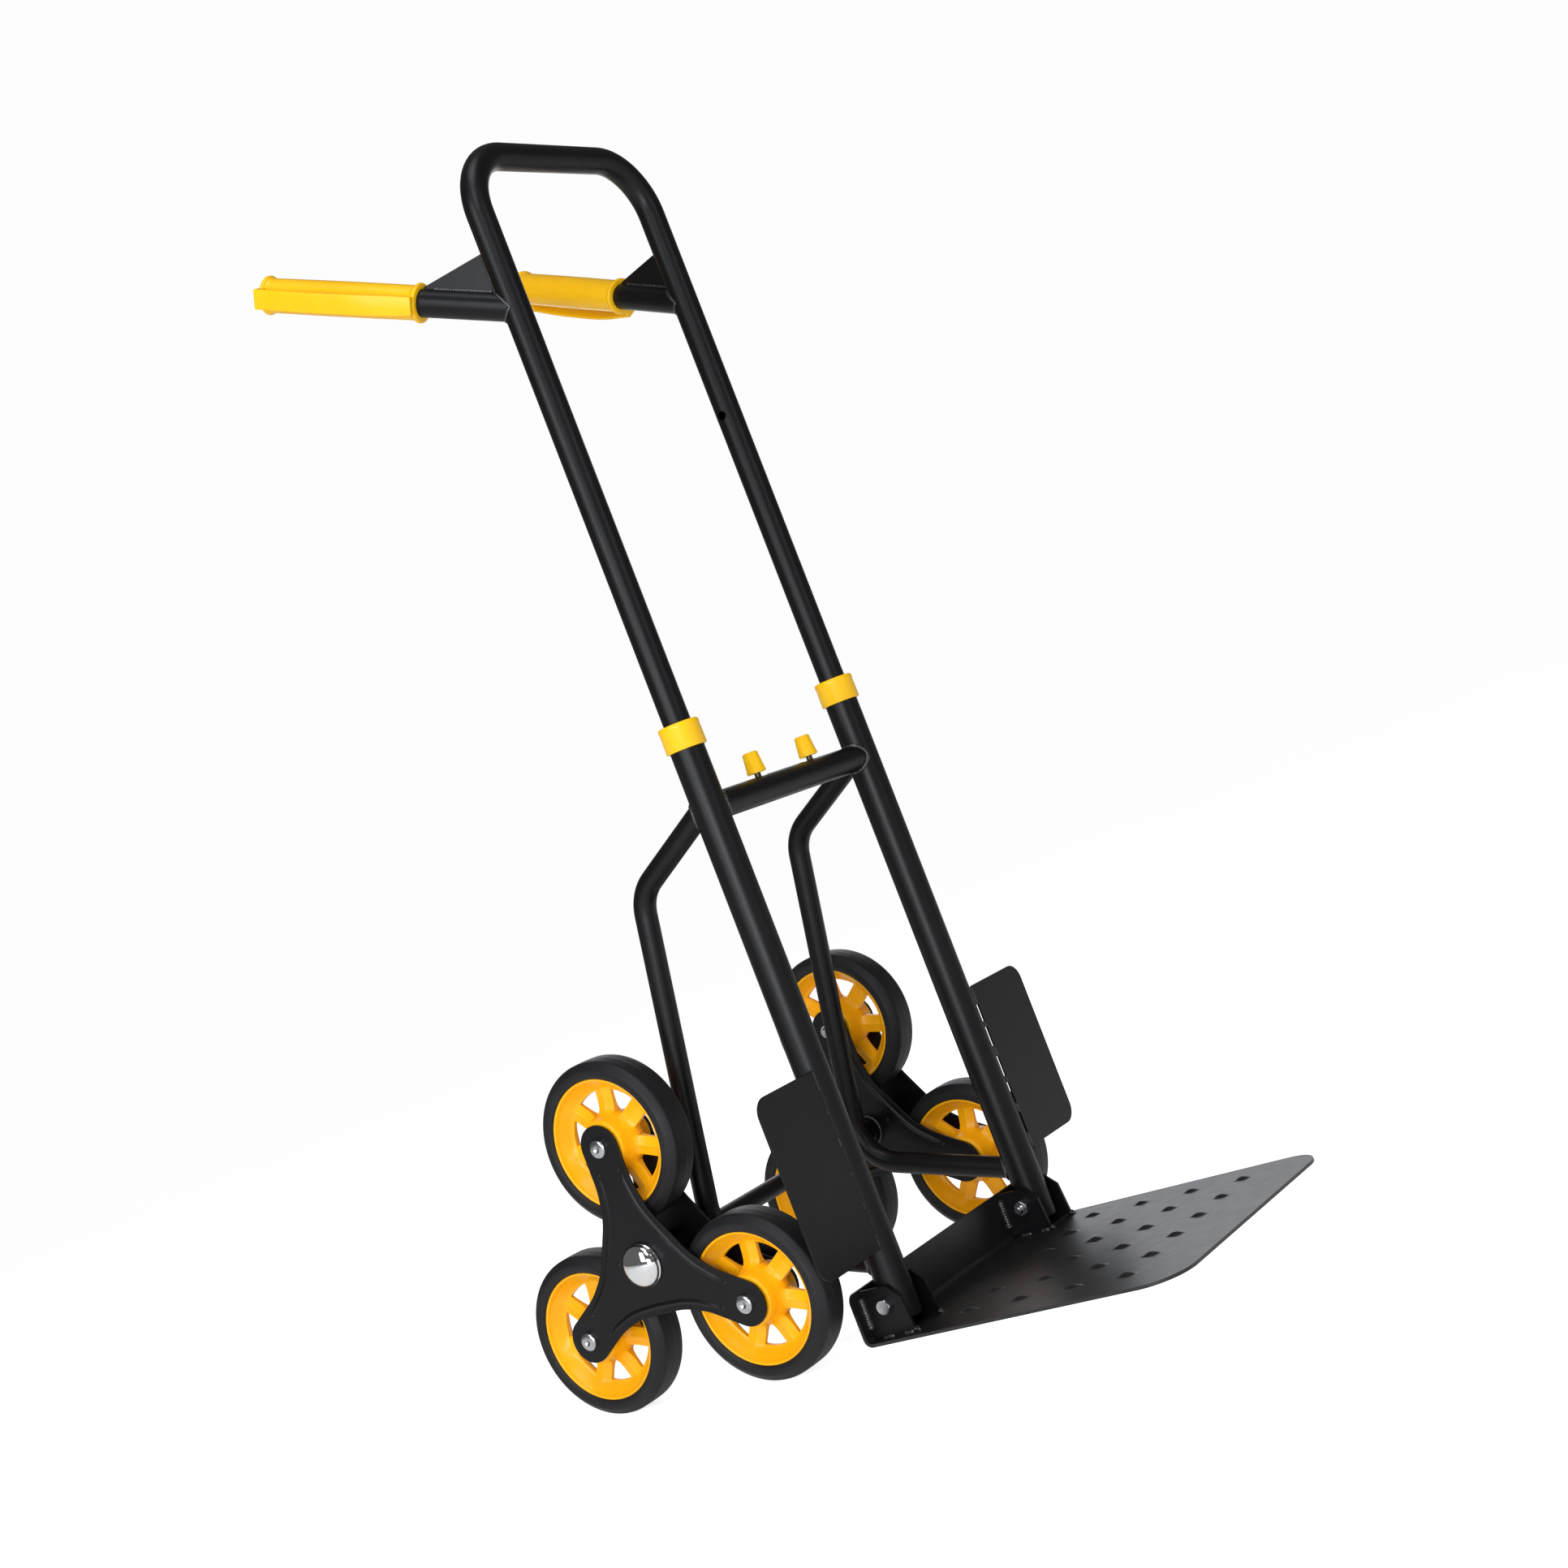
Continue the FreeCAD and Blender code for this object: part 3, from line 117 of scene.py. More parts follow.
NUT_HEIGHT = 6.5
NUT_BORE = 3.9
SUNK = 0.4              # how deep a raised detail reaches into its sheet


# ---- shader helpers
class Shader:
    """A small wrapper that builds one procedural material."""

    def __init__(self, name):
        self.material = bpy.data.materials.new(name)
        self.material.use_nodes = True
        self.tree = self.material.node_tree
        self.skin = self.tree.nodes["Principled BSDF"]
        self.place = self.node("ShaderNodeTexCoord").outputs["Object"]

    def node(self, kind, **numbers):
        """A new node; underscores in its inputs' names stand for spaces."""
        made = self.tree.nodes.new(kind)
        for name, number in numbers.items():
            made.inputs[name.replace("_", " ")].default_value = number
        return made

    def link(self, output, target):
        self.tree.links.new(output, target)

    def noise(self, scale, detail, rough=0.55):
        made = self.node("ShaderNodeTexNoise", Scale=scale, Detail=detail, Roughness=rough)
        self.link(self.place, made.inputs["Vector"])
        return made.outputs["Fac"]

    def ramp(self, value, low, high, start=0.0, end=1.0):
        """Map a value from one range to another, clamped."""
        made = self.node("ShaderNodeMapRange", From_Min=start, From_Max=end,
                         To_Min=low, To_Max=high)
        self.link(value, made.inputs["Value"])
        return made.outputs["Result"]

    def blend(self, value, first, second):
        """Mix two colours by a value."""
        made = self.node("ShaderNodeMix")
        made.data_type = "RGBA"
        made.inputs[6].default_value = (*first, 1)
        made.inputs[7].default_value = (*second, 1)
        self.link(value, made.inputs[0])
        return made.outputs[2]

    def set(self, name, value):
        """Give the surface a number, a colour or another node's output."""
        if isinstance(value, (int, float)):
            self.skin.inputs[name].default_value = value
        elif isinstance(value, tuple):
            self.skin.inputs[name].default_value = (*value, 1)
        else:
            self.link(value, self.skin.inputs[name])

    def bump(self, height, strength, distance):
        """Bump from a height, its depth in metres."""
        made = self.node("ShaderNodeBump", Strength=strength, Distance=distance)
        self.link(height, made.inputs["Height"])
        self.link(made.outputs["Normal"], self.skin.inputs["Normal"])


def paint_black():
    """Satin black powder coat: a fine orange peel and faint dust."""
    s = Shader("black_powder_coat")
    dust = s.ramp(s.noise(9, 5), 0, 1, 0.45, 0.75)
    s.set("Base Color", s.blend(dust, (0.0024, 0.0024, 0.0030), (0.0046, 0.0046, 0.0053)))
    s.set("Roughness", s.ramp(s.noise(60, 4), 0.33, 0.42))
    s.set("Specular IOR Level", 0.26)
    s.bump(s.noise(420, 2), 0.03, 0.00008)
    return s.material


def plate_black():
    """The toe plate's coat: the same paint, scuffed by cartons."""
    s = Shader("black_powder_coat_scuffed")
    worn = s.ramp(s.noise(38, 8, 0.7), 0, 1, 0.56, 0.72)
    s.set("Base Color", s.blend(worn, (0.0050, 0.0050, 0.0056), (0.0110, 0.0110, 0.0120)))
    s.set("Roughness", s.ramp(s.noise(70, 5), 0.32, 0.44))
    s.set("Specular IOR Level", 0.62)
    s.bump(s.noise(420, 3), 0.05, 0.00010)
    return s.material


def plastic(name, deep, light, low, high, grain):
    """Moulded plastic with a slight flow tint and a fine grain."""
    s = Shader(name)
    flow = s.ramp(s.noise(14, 4), 0, 1, 0.35, 0.7)
    s.set("Base Color", s.blend(flow, deep, light))
    s.set("Roughness", s.ramp(s.noise(90, 3), low, high))
    s.set("Specular IOR Level", 0.30)
    s.bump(s.noise(grain, 2), 0.03, 0.00006)
    return s.material


def weld_black():
    """Paint over a weld: uneven, glossier on the ripples, and its black drawn lighter than the coat
    in speckles as painted sheen.
    """
    s = Shader("black_weld")
    # painted sheen: speckles that make the bead's black lighter than the coat around it
    painted_sheen_speckle = s.ramp(s.noise(300, 4), 0, 1, 0.4, 0.7)
    s.set("Base Color", s.blend(painted_sheen_speckle, (0.008, 0.008, 0.009), (0.040, 0.040, 0.042)))
    s.set("Roughness", s.ramp(s.noise(420, 3), 0.16, 0.40))
    s.set("Specular IOR Level", 0.75)
    s.bump(s.noise(520, 3), 0.6, 0.00035)
    return s.material


def rubber():
    """Black tyre rubber, a little chalky, with mould speckle."""
    s = Shader("tyre_rubber")
    chalk = s.ramp(s.noise(26, 6), 0, 1, 0.4, 0.8)
    s.set("Base Color", s.blend(chalk, (0.0072, 0.0070, 0.0080), (0.0135, 0.0130, 0.0145)))
    s.set("Roughness", s.ramp(s.noise(120, 4), 0.42, 0.58))
    s.set("Specular IOR Level", 0.30)
    s.bump(s.noise(700, 3), 0.14, 0.00012)
    return s.material


def metal(name, colour, dull, low, high, scratch, strength):
    """Bare or plated metal with fine scratches."""
    s = Shader(name)
    spots = s.ramp(s.noise(180, 5), 0, 1, 0.4, 0.8)
    s.set("Base Color", s.blend(spots, colour, dull))
    s.set("Metallic", 1.0)
    s.set("Roughness", s.ramp(s.noise(240, 4), low, high))
    s.bump(s.noise(scratch, 3), strength, 0.00010)
    return s.material


LOOKS = {
    "black_powder_coat": paint_black(),
    "yellow_plastic": plastic("yellow_plastic", (0.90, 0.490, 0.004), (0.94, 0.540, 0.007),
                              0.20, 0.30, 500),
    "yellow_wheel": plastic("yellow_wheel", (0.92, 0.405, 0.003), (0.97, 0.460, 0.005),
                            0.22, 0.34, 480),
    "yellow_grip": plastic("yellow_grip", (0.86, 0.455, 0.004), (0.91, 0.500, 0.007),
                           0.22, 0.34, 380),
    "black_plastic": plastic("black_plastic", (0.012, 0.012, 0.013), (0.018, 0.018, 0.019),
                             0.42, 0.55, 900),
    "zinc_steel": metal("zinc_steel", (0.52, 0.53, 0.55), (0.36, 0.37, 0.38),
                        0.16, 0.32, 500, 0.3),
    "spring_steel": metal("spring_steel", (0.42, 0.42, 0.43), (0.30, 0.30, 0.31),
                          0.25, 0.38, 500, 0.12),
    "chrome": metal("chrome", (0.80, 0.80, 0.81), (0.72, 0.72, 0.73), 0.04, 0.09, 300, 0.02),
    "tyre_rubber": rubber(),
}
SCUFFED = plate_black()
WELDED = weld_black()
STEM = metal("phosphated_steel", (0.10, 0.085, 0.065), (0.06, 0.052, 0.045), 0.30, 0.45, 500, 0.2)


# ---- mesh helpers
def add_object(name, data):
    made = bpy.data.objects.new(name, data)
    bpy.context.scene.collection.objects.link(made)
    return made


def axes(base, x_axis, y_axis, z_axis):
    """A placement in metres from a base in millimetres and three unit axes."""
    place = Matrix.Identity(4)
    for column, axis in enumerate((x_axis, y_axis, z_axis)):
        place.col[column][:3] = axis
    place.col[3][:3] = base * MM
    return place


def outward_axes(base, sign):
    """A placement whose +Z points out of the trolley's side, +Y up."""
    z_axis = Vector((sign, 0, 0))
    return axes(base, UP.cross(z_axis), UP, z_axis)


def finish_mesh(name, mesh, body, slot, replaced=(), look=None, sharp=32, bevel=0.0):
    """Turn a bmesh in metres into a piece that rides on a body."""
    bmesh.ops.recalc_face_normals(mesh, faces=mesh.faces)
    limit = math.radians(sharp)
    for face in mesh.faces:
        face.smooth = True
    for edge in mesh.edges:
        if len(edge.link_faces) == 2 and edge.calc_face_angle(0) > limit:
            edge.smooth = False
    data = bpy.data.meshes.new(name)
    mesh.to_mesh(data)
    mesh.free()
    piece = add_object(name, data)
    data.materials.append(look or LOOKS[slot])
    if bevel:
        rounding = piece.modifiers.new("Rounding", "BEVEL")
        rounding.width = bevel * MM
        rounding.segments = 3
        rounding.limit_method = "ANGLE"
        rounding.angle_limit = limit
        rounding.harden_normals = True
    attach(piece, body)
    if replaced:
        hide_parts(*replaced)
    return piece


def ring_strip(mesh, rings, loop=False):
    """Faces between closed rings of equal length; loop joins the last ring to the first."""
    rows = [[mesh.verts.new(point) for point in ring] for ring in rings]
    count = len(rows[0])
    pairs = list(zip(rows, rows[1:]))
    if loop:
        pairs.append((rows[-1], rows[0]))
    for first, second in pairs:
        for i in range(count):
            j = (i + 1) % count
            mesh.faces.new((first[i], first[j], second[j], second[i]))
    return rows


def spot(place, x, y, z):
    """A point given in millimetres along a placement's axes."""
    return place @ (Vector((x, y, z)) * MM)


def circle(turns):
    """Angles all round, in radians."""
    return [math.tau * i / turns for i in range(turns)]


def cap(mesh, rows):
    """A face over the first and the last row."""
    mesh.faces.new(rows[0])
    mesh.faces.new(rows[-1])


def capped(mesh, rings):
    """A strip through rings, closed at both ends."""
    cap(mesh, ring_strip(mesh, rings))


def lathe(mesh, place, profile, turns, loop=True):
    """Turn a profile of (radius, height) in millimetres about the placement's Z."""
    rings = [[spot(place, radius * math.cos(angle), radius * math.sin(angle), height)
              for angle in circle(turns)] for radius, height in profile]
    return ring_strip(mesh, rings, loop=loop)


def dome(mesh, place, profile, turns):
    """A turned shape closed by a flat face at each end of its profile."""
    cap(mesh, lathe(mesh, place, profile, turns, loop=False))


def arc(centre, radius, start, end, steps):
    """Points on an arc, as (x, y); angles in degrees."""
    points = []
    for i in range(steps + 1):
        angle = math.radians(start + (end - start) * i / steps)
        points.append((centre[0] + radius * math.cos(angle), centre[1] + radius * math.sin(angle)))
    return points


def smooth_line(points, steps):
    """A Catmull-Rom line through vectors."""
    line = []
    last = len(points) - 1
    for i in range(last):
        before = points[max(i - 1, 0)]
        after = points[min(i + 2, last)]
        a, b = points[i], points[i + 1]
        for k in range(steps):
            t = k / steps
            pull = (b - before) * 0.5
            push = (after - a) * 0.5
            line.append(a * (2 * t ** 3 - 3 * t * t + 1) + b * (3 * t * t - 2 * t ** 3)
                        + pull * (t ** 3 - 2 * t * t + t) + push * (t ** 3 - t * t))
    line.append(points[-1])
    return line


def sweep(mesh, line, sections, up):
    """Carry a closed section, given as (side, up) offsets for each point, along a line."""
    rings = []
    for i, point in enumerate(line):
        ahead = (line[min(i + 1, len(line) - 1)] - line[max(i - 1, 0)]).normalized()
        rise = up[i] if isinstance(up, list) else up
        side = ahead.cross(rise).normalized()
        rise = side.cross(ahead).normalized()
        rings.append([(point + side * a + rise * b) * MM for a, b in sections[i]])
    capped(mesh, rings)


def slab_section(width, thick, corner):
    """A rounded rectangle as (side, up) offsets."""
    points = []
    for x_sign, y_sign, start in ((1, 1, 0), (-1, 1, 90), (-1, -1, 180), (1, -1, 270)):
        centre = (x_sign * (width / 2 - corner), y_sign * (thick / 2 - corner))
        points += arc(centre, corner, start, start + 90, 3)
    return points


def round_line(corners, radii, steps):
    """A closed outline of (x, y) corners, each rounded by its own radius."""
    line = []
    count = len(corners)
    for i in range(count):
        corner = Vector(corners[i])
        back = (Vector(corners[i - 1]) - corner).normalized()
        ahead = (Vector(corners[(i + 1) % count]) - corner).normalized()
        half = back.angle(ahead) / 2
        setback = radii[i] / math.tan(half)
        middle = corner + (back + ahead).normalized() * (radii[i] / math.sin(half))
        start = corner + back * setback - middle
        end = corner + ahead * setback - middle
        for k in range(steps + 1):
            spoke = start.lerp(end, k / steps).normalized() * radii[i]
            line.append(middle + spoke)
    return line


# ---- weld beads
BEAD_STEP = 0.65        # along a bead, between its rings
BEAD_RIPPLE = 2.6       # length of one ripple
BEAD_TURNS = 10         # points around a bead
BEAD_PROUD = 0.35       # how far a bead's middle stands out of its corner, in radii


def cope_seam(base, direction, radius, centre, other, side):
    """Where a tube's surface meets an upright tube, as a seam for weld()."""
    direction = direction.normalized()
    u = direction.orthogonal().normalized()
    v = direction.cross(u)
    points = []
    outs = []
    for degrees in range(0, 361, 5):
        angle = math.radians(degrees)
        out = u * math.cos(angle) + v * math.sin(angle)
        p = base + out * radius - centre
        flat = p.xy.to_3d()
        run = direction.xy.to_3d()
        a = run.dot(run)
        b = 2 * flat.dot(run)
        c = flat.dot(flat) - other * other
        root = math.sqrt(max(b * b - 4 * a * c, 0))
        hit = p + direction * ((-b + side * root) / (2 * a))
        normal = hit.xy.to_3d().normalized()
        points.append(hit + centre)
        outs.append((out + normal).normalized())
    return points, outs, True


def bead(mesh, line, outs, radius, seed, closed):
    """A weld bead: a rippled, slightly uneven rod laid in a corner."""
    count = len(line)
    rings = []
    run = 0.0
    for i, point in enumerate(line):
        ahead = (line[(i + 1) % count] - line[i - 1]) if closed else (
            line[min(i + 1, count - 1)] - line[max(i - 1, 0)])
        ahead.normalize()
        run += (point - line[i - 1]).length if i else 0.0
        side = ahead.cross(outs[i]).normalized()
        out = side.cross(ahead).normalized()
        wobble = noise.noise(Vector((run * 0.11, seed, 0.3)))
        scale = 0.10 * math.cos(math.tau * run / BEAD_RIPPLE)
        size = radius * (1 + 0.16 * wobble + scale)
        if not closed:
            size *= min(1.0, 0.45 + 0.3 * min(i, count - 1 - i))
        centre = point + out * radius * BEAD_PROUD
        ring = []
        for angle in circle(BEAD_TURNS):
            ring.append((centre + side * size * math.cos(angle) * 1.15
                         + out * size * 0.85 * math.sin(angle)) * MM)
        rings.append(ring)
    rows = ring_strip(mesh, rings, loop=closed)
    if not closed:
        cap(mesh, rows)


def resample(points, outs, step):
    """Even steps along a line, so that the ripples come out even."""
    line = [points[0]]
    sides = [outs[0]]
    due = step
    gone = 0.0
    for i in range(1, len(points)):
        part = (points[i] - points[i - 1]).length
        while gone + part >= due and part > 0:
            t = (due - gone) / part
            line.append(points[i - 1].lerp(points[i], t))
            sides.append(outs[i - 1].lerp(outs[i], t).normalized())
            due += step
        gone += part
    return line, sides


def weld(name, body, seams, radius=1.7):
    """One piece of several beads; a seam is (points, ways out of its corner, closed)."""
    mesh = bmesh.new()
    for seed, (points, outs, closed) in enumerate(seams):
        line, sides = resample(points, outs, BEAD_STEP)
        bead(mesh, line, sides, radius, seed * 3.7 + 1.3, closed)
    finish_mesh(name, mesh, body, "black_powder_coat", look=WELDED, sharp=60)


def straight(start, end, out):
    """A straight seam for weld()."""
    steps = 40
    points = [start.lerp(end, i / steps) for i in range(steps + 1)]
    return points, [out.normalized()] * (steps + 1), False


# ---- wheels
def wheel_centre(sign, index):
    """Middle of a wheel; the first stands straight above the axle."""
    turn = math.radians(120 * index)
    return Vector((sign * STAR_X, AXLE.y + ARM * math.sin(turn), AXLE.z + ARM * math.cos(turn)))


def tyre(side, sign, index):
    """Rubber tyre: flat side walls, bevelled shoulders and a faint mould line."""
    name = "%s_%d" % (side, index + 1)
    half = [
        (HUB_R - 0.6, 14.0), (HUB_R - 0.2, 16.4), (HUB_R + 0.9, 17.6), (HUB_R + 2.2, 18.15),
        (HUB_R + 4.0, TYRE_HALF), (TYRE_R - 8.0, TYRE_HALF), (TYRE_R - 7.0, TYRE_HALF - 0.15),
        (TYRE_R - 6.3, TYRE_HALF - 0.7), (TYRE_R - 1.3, 13.3), (TYRE_R - 0.6, 12.4),
        (TYRE_R - 0.25, 11.2), (TYRE_R - 0.1, 6.0), (TYRE_R - 0.05, 0.7), (TYRE_R, 0.35),
    ]
    profile = half + [(radius, -height) for radius, height in reversed(half)]
    mesh = bmesh.new()
    lathe(mesh, outward_axes(wheel_centre(sign, index), sign), profile, 128)
    finish_mesh("tyre_look_" + name, mesh, "wheel_" + name, "tyre_rubber",
                ["tyre_" + name], sharp=24)


# a hub window's inner and outer corner, beside and along its middle line
WINDOW_FOOT = Vector((3.4, 27.5))
WINDOW_HEAD = Vector((12.8, 47.0))


def window_half_angle(radius):
    """Half the angle that a hub window takes up at a radius."""
    inner, outer = WINDOW_FOOT.length, WINDOW_HEAD.length
    share = (radius - inner) / (outer - inner)
    side = WINDOW_FOOT.lerp(WINDOW_HEAD, min(max(share, 0.0), 1.0))
    return math.atan2(side.x, side.y)


HUB_FACE = [
    # radius, height over the middle plane, from the bore out to the lip
    (4.1, 23.9), (9.0, 23.9), (9.3, 21.2), (21.6, 21.2), (22.4, 20.8), (22.9, 19.8),
    (23.8, 14.6), (25.4, 8.8), (28.2, 4.4), (31.5, 2.9), (36.0, 2.2), (42.0, 2.0),
    (47.4, 2.0), (49.0, 2.7), (50.6, 4.2), (53.2, 7.4), (55.6, 10.4), (57.2, 12.6),
    (57.9, 14.0), (58.3, 15.2), (58.9, 15.8), (59.7, 16.0), (60.5, 15.8), (60.95, 15.1),
]
WINDOW_IN, WINDOW_OUT = 28.2, 47.4
RIDGE_START, RIDGE_END, RIDGE_FADE = 22.9, 57.2, 9.0
ROOF_HEIGHT, CREST_HEIGHT = 1.7, 0.3
# how far across half a spoke each mesh line lies, from its middle to the window
SPOKE_LINES = (0.0, 0.07, 0.15, 0.24, 0.36, 0.55, 0.78)
WINDOW_LINES = 6


def ridge(radius, across, half):
    """Height of a spoke's folded ridge over the dish."""
    ends = min(radius - RIDGE_START, RIDGE_END - radius) / RIDGE_FADE
    fade = min(max(ends, 0.0), 1.0)
    fade = fade * fade * (3 - 2 * fade)
    roof = ROOF_HEIGHT * max(0.0, 1 - across / half)
    crest = CREST_HEIGHT * math.exp(-across ** 2)
    return fade * (roof + crest)


def hub(side, sign, index):
    """Yellow wheel hub: a dished web with seven windows, folded spokes and a lip."""
    name = "%s_%d" % (side, index + 1)
    place = outward_axes(wheel_centre(sign, index), sign)
    mesh = bmesh.new()
    pitch = math.tau / WINDOWS
    spin = HUB_SPIN[side][index]
    columns = []
    for sector in range(WINDOWS):
        columns += [(sector, -1, share) for share in SPOKE_LINES]
        columns += [(sector, 0, k / WINDOW_LINES) for k in range(WINDOW_LINES)]
        columns += [(sector, 1, share) for share in (1.0,) + tuple(reversed(SPOKE_LINES[1:]))]
    count = len(columns)

    def hub_point(column, radius, height, face):
        sector, part, share = column
        window = window_half_angle(radius)
        spoke = pitch / 2 - window
        if part == 0:
            local = window * (2 * share - 1)
            lift = 0.0
        else:
            away = spoke * share
            local = part * (pitch / 2 - away)
            lift = ridge(radius, radius * math.sin(away), radius * math.sin(spoke))
        turn = spin + sector * pitch + local
        return spot(place, radius * math.sin(turn), radius * math.cos(turn),
                    face * (height + lift))

    faces = {}
    for face in (1, -1):
        faces[face] = [[mesh.verts.new(hub_point(column, radius, height, face))
                        for column in columns] for radius, height in HUB_FACE]
    radii = [radius for radius, height in HUB_FACE]
    first, last = radii.index(WINDOW_IN), radii.index(WINDOW_OUT)
    for face, rows in faces.items():
        for r in range(len(rows) - 1):
            for i in range(count):
                if not (first <= r < last and columns[i][1] == 0):
                    j = (i + 1) % count
                    mesh.faces.new((rows[r][i], rows[r][j], rows[r + 1][j], rows[r + 1][i]))
    front, back = faces[1], faces[-1]
    for r in (0, len(radii) - 1):
        for i in range(count):
            j = (i + 1) % count
            mesh.faces.new((front[r][i], front[r][j], back[r][j], back[r][i]))
    for sector in range(WINDOWS):
        low = sector * (count // WINDOWS) + len(SPOKE_LINES)
        high = low + WINDOW_LINES
        for r in range(first, last):
            for i in (low, high):
                mesh.faces.new((front[r][i], front[r + 1][i], back[r + 1][i], back[r][i]))
        for r in (first, last):
            for i in range(low, high):
                mesh.faces.new((front[r][i], front[r][i + 1], back[r][i + 1], back[r][i]))
    finish_mesh("hub_look_" + name, mesh, "wheel_" + name, "yellow_wheel",
                ["wheel_hub_" + name], sharp=38, bevel=0.35)


# ---- carriers
TIP_R = 21.0
FLANK = 47.0
FLANK_HALF = 26.0
FLANK_BEND = 78.0
ARM_STRAIGHT = 72.0
RIB_INSET = 7.0
RIB_END = 86.0          # along an arm
RIB_WIDTH, RIB_HEIGHT, RIB_TAPER = 5.5, 1.3, 16.0
DOT_R, DOT_HEIGHT = 2.1, 1.0


def on_arm(across, along, turn):
    """A point beside an arm's middle line, turn degrees clockwise from up."""
    angle = math.radians(turn)
    return (across * math.cos(angle) + along * math.sin(angle),
            along * math.cos(angle) - across * math.sin(angle))


def carrier_outline():
    """The plate's outline, without the doubled points where two rounded corners meet."""
    line = []
    corners = []
    radii = []
    for turn in (0, 120, 240):
        corners += [on_arm(-TIP_R, ARM_STRAIGHT, turn), on_arm(-TIP_R, ARM + TIP_R, turn),
                    on_arm(TIP_R, ARM + TIP_R, turn), on_arm(TIP_R, ARM_STRAIGHT, turn),
                    on_arm(-FLANK_HALF, FLANK, turn + 60), on_arm(FLANK_HALF, FLANK, turn + 60)]
        radii += [FLANK_BEND, TIP_R - 0.001, TIP_R - 0.001, FLANK_BEND, FLANK_BEND, FLANK_BEND]
    for point in round_line(corners, radii, 12):
        if not line or (Vector(line[-1]) - point).length > 0.01:
            line.append((point.x, point.y))
    return line


def smooth_bump(mesh, place, line, width, height, taper):
    """A raised rib with a rounded section and faded ends, on the placement's XY plane."""
    total = sum((b - a).length for a, b in zip(line, line[1:]))
    run = 0.0
    rings = []
    for i, point in enumerate(line):
        run += (point - line[i - 1]).length if i else 0.0
        ends = min(run, total - run) / taper
        fade = math.sin(min(ends, 1.0) * math.pi / 2)
        ahead = (line[min(i + 1, len(line) - 1)] - line[max(i - 1, 0)]).normalized()
        side = Vector((ahead.y, -ahead.x, 0))
        ring = []
        for k in range(9):
            share = k / 4 - 1
            half = width / 2 * (0.35 + 0.65 * fade)
            lift = height * fade * (0.5 + 0.5 * math.cos(math.pi * share))
            ring.append(place @ ((point + side * half * share + UP * lift) * MM))
        ring.append(place @ ((point - UP * SUNK) * MM))
        rings.append(ring)
    capped(mesh, rings)


def dimple(mesh, place, centre, radius_x, radius_y, height, rings=5, turns=20):
    """A raised lens on the placement's XY plane."""
    shares = [r / rings for r in range(1, rings + 1)]
    stations = [(share, height * (0.5 + 0.5 * math.cos(math.pi * share))) for share in shares]
    rows = []
    for share, lift in stations + [(1.0, -SUNK)]:
        rows.append([spot(place, centre[0] + radius_x * share * math.cos(angle),
                          centre[1] + radius_y * share * math.sin(angle), lift)
                     for angle in circle(turns)])
    made = ring_strip(mesh, rows)
    top = mesh.verts.new(spot(place, *centre, height))
    for k in range(turns):
        mesh.faces.new((made[0][k], made[0][(k + 1) % turns], top))
    mesh.faces.new(made[-1])


def carrier_plate(side, sign, layer):
    """Stamped three-armed plate with ribs along its flanks and small dimples."""
    face = 1 if layer == "outer" else -1
    centre = Vector((sign * (STAR_X + face * STAR_HALF), AXLE.y, AXLE.z))
    place = outward_axes(centre, sign * face)
    mesh = bmesh.new()
    outline = carrier_outline()
    capped(mesh, [[spot(place, x, y, z) for x, y in outline] for z in (0, STAR_SHEET)])
    finish_mesh("carrier_look_%s_%s" % (layer, side), mesh, "carrier_" + side,
                "black_powder_coat", ["carrier_%s_%s" % (layer, side)], sharp=40, bevel=0.5)

    mesh = bmesh.new()
    top = outward_axes(centre + Vector((sign * face, 0, 0)) * STAR_SHEET, sign * face)
    beside = TIP_R - RIB_INSET
    for turn in (60, 180, 300):
        corners = [on_arm(beside, RIB_END, turn - 60), on_arm(beside, ARM_STRAIGHT, turn - 60),
                   on_arm(-FLANK_HALF, FLANK - RIB_INSET, turn),
                   on_arm(FLANK_HALF, FLANK - RIB_INSET, turn),
                   on_arm(-beside, ARM_STRAIGHT, turn + 60), on_arm(-beside, RIB_END, turn + 60)]
        line = [Vector((x, y, 0)) for x, y in corners]
        smooth_bump(mesh, top, smooth_line(line, 10), RIB_WIDTH, RIB_HEIGHT, RIB_TAPER)
        for across in (-12, 12):
            dimple(mesh, top, on_arm(across, ARM - 23, turn + 60), DOT_R, DOT_R, DOT_HEIGHT)
    for across in (-27.5, 27.5):
        dimple(mesh, top, (across, 5.5), DOT_R, DOT_R, DOT_HEIGHT)
    finish_mesh("carrier_relief_%s_%s" % (layer, side), mesh, "carrier_" + side,
                "black_powder_coat", sharp=70)


def bolt_head(mesh, place, radius, height, cross):
    """A low pan head, dished where its cross recess goes; place is on its seat."""
    profile = [(radius, 0.02), (radius, height * 0.55)]
    for degrees in (15, 35, 55, 75):
        angle = math.radians(degrees)
        profile.append((radius - height * 0.45 * (1 - math.cos(angle)) * 2.2,
                        height * 0.55 + height * 0.45 * math.sin(angle)))
    profile += [(cross * 1.25, height * 1.01), (cross * 0.55, height * 0.72),
                (0.05, height * 0.60)]
    dome(mesh, place, profile, 48)


def cross_recess(mesh, place, arm, width, depth, top):
    """Four wedges in a head's dish; drawn in a darker metal, they are painted shade that reads as a
    cross-shaped recess.
    """
    for quarter in range(4):
        angle = math.pi / 2 * quarter
        run = Vector((math.cos(angle), math.sin(angle), 0))
        side = Vector((-run.y, run.x, 0))
        rings = []
        for reach, half, z in ((0.15, width / 2, top - depth), (arm, width / 2, top)):
            ring = []
            for a, lift in ((-half, 0.0), (half, 0.0), (half, 0.25), (-half, 0.25)):
                ring.append(place @ ((run * reach + side * a + UP * (z + lift)) * MM))
            rings.append(ring)
        capped(mesh, rings)


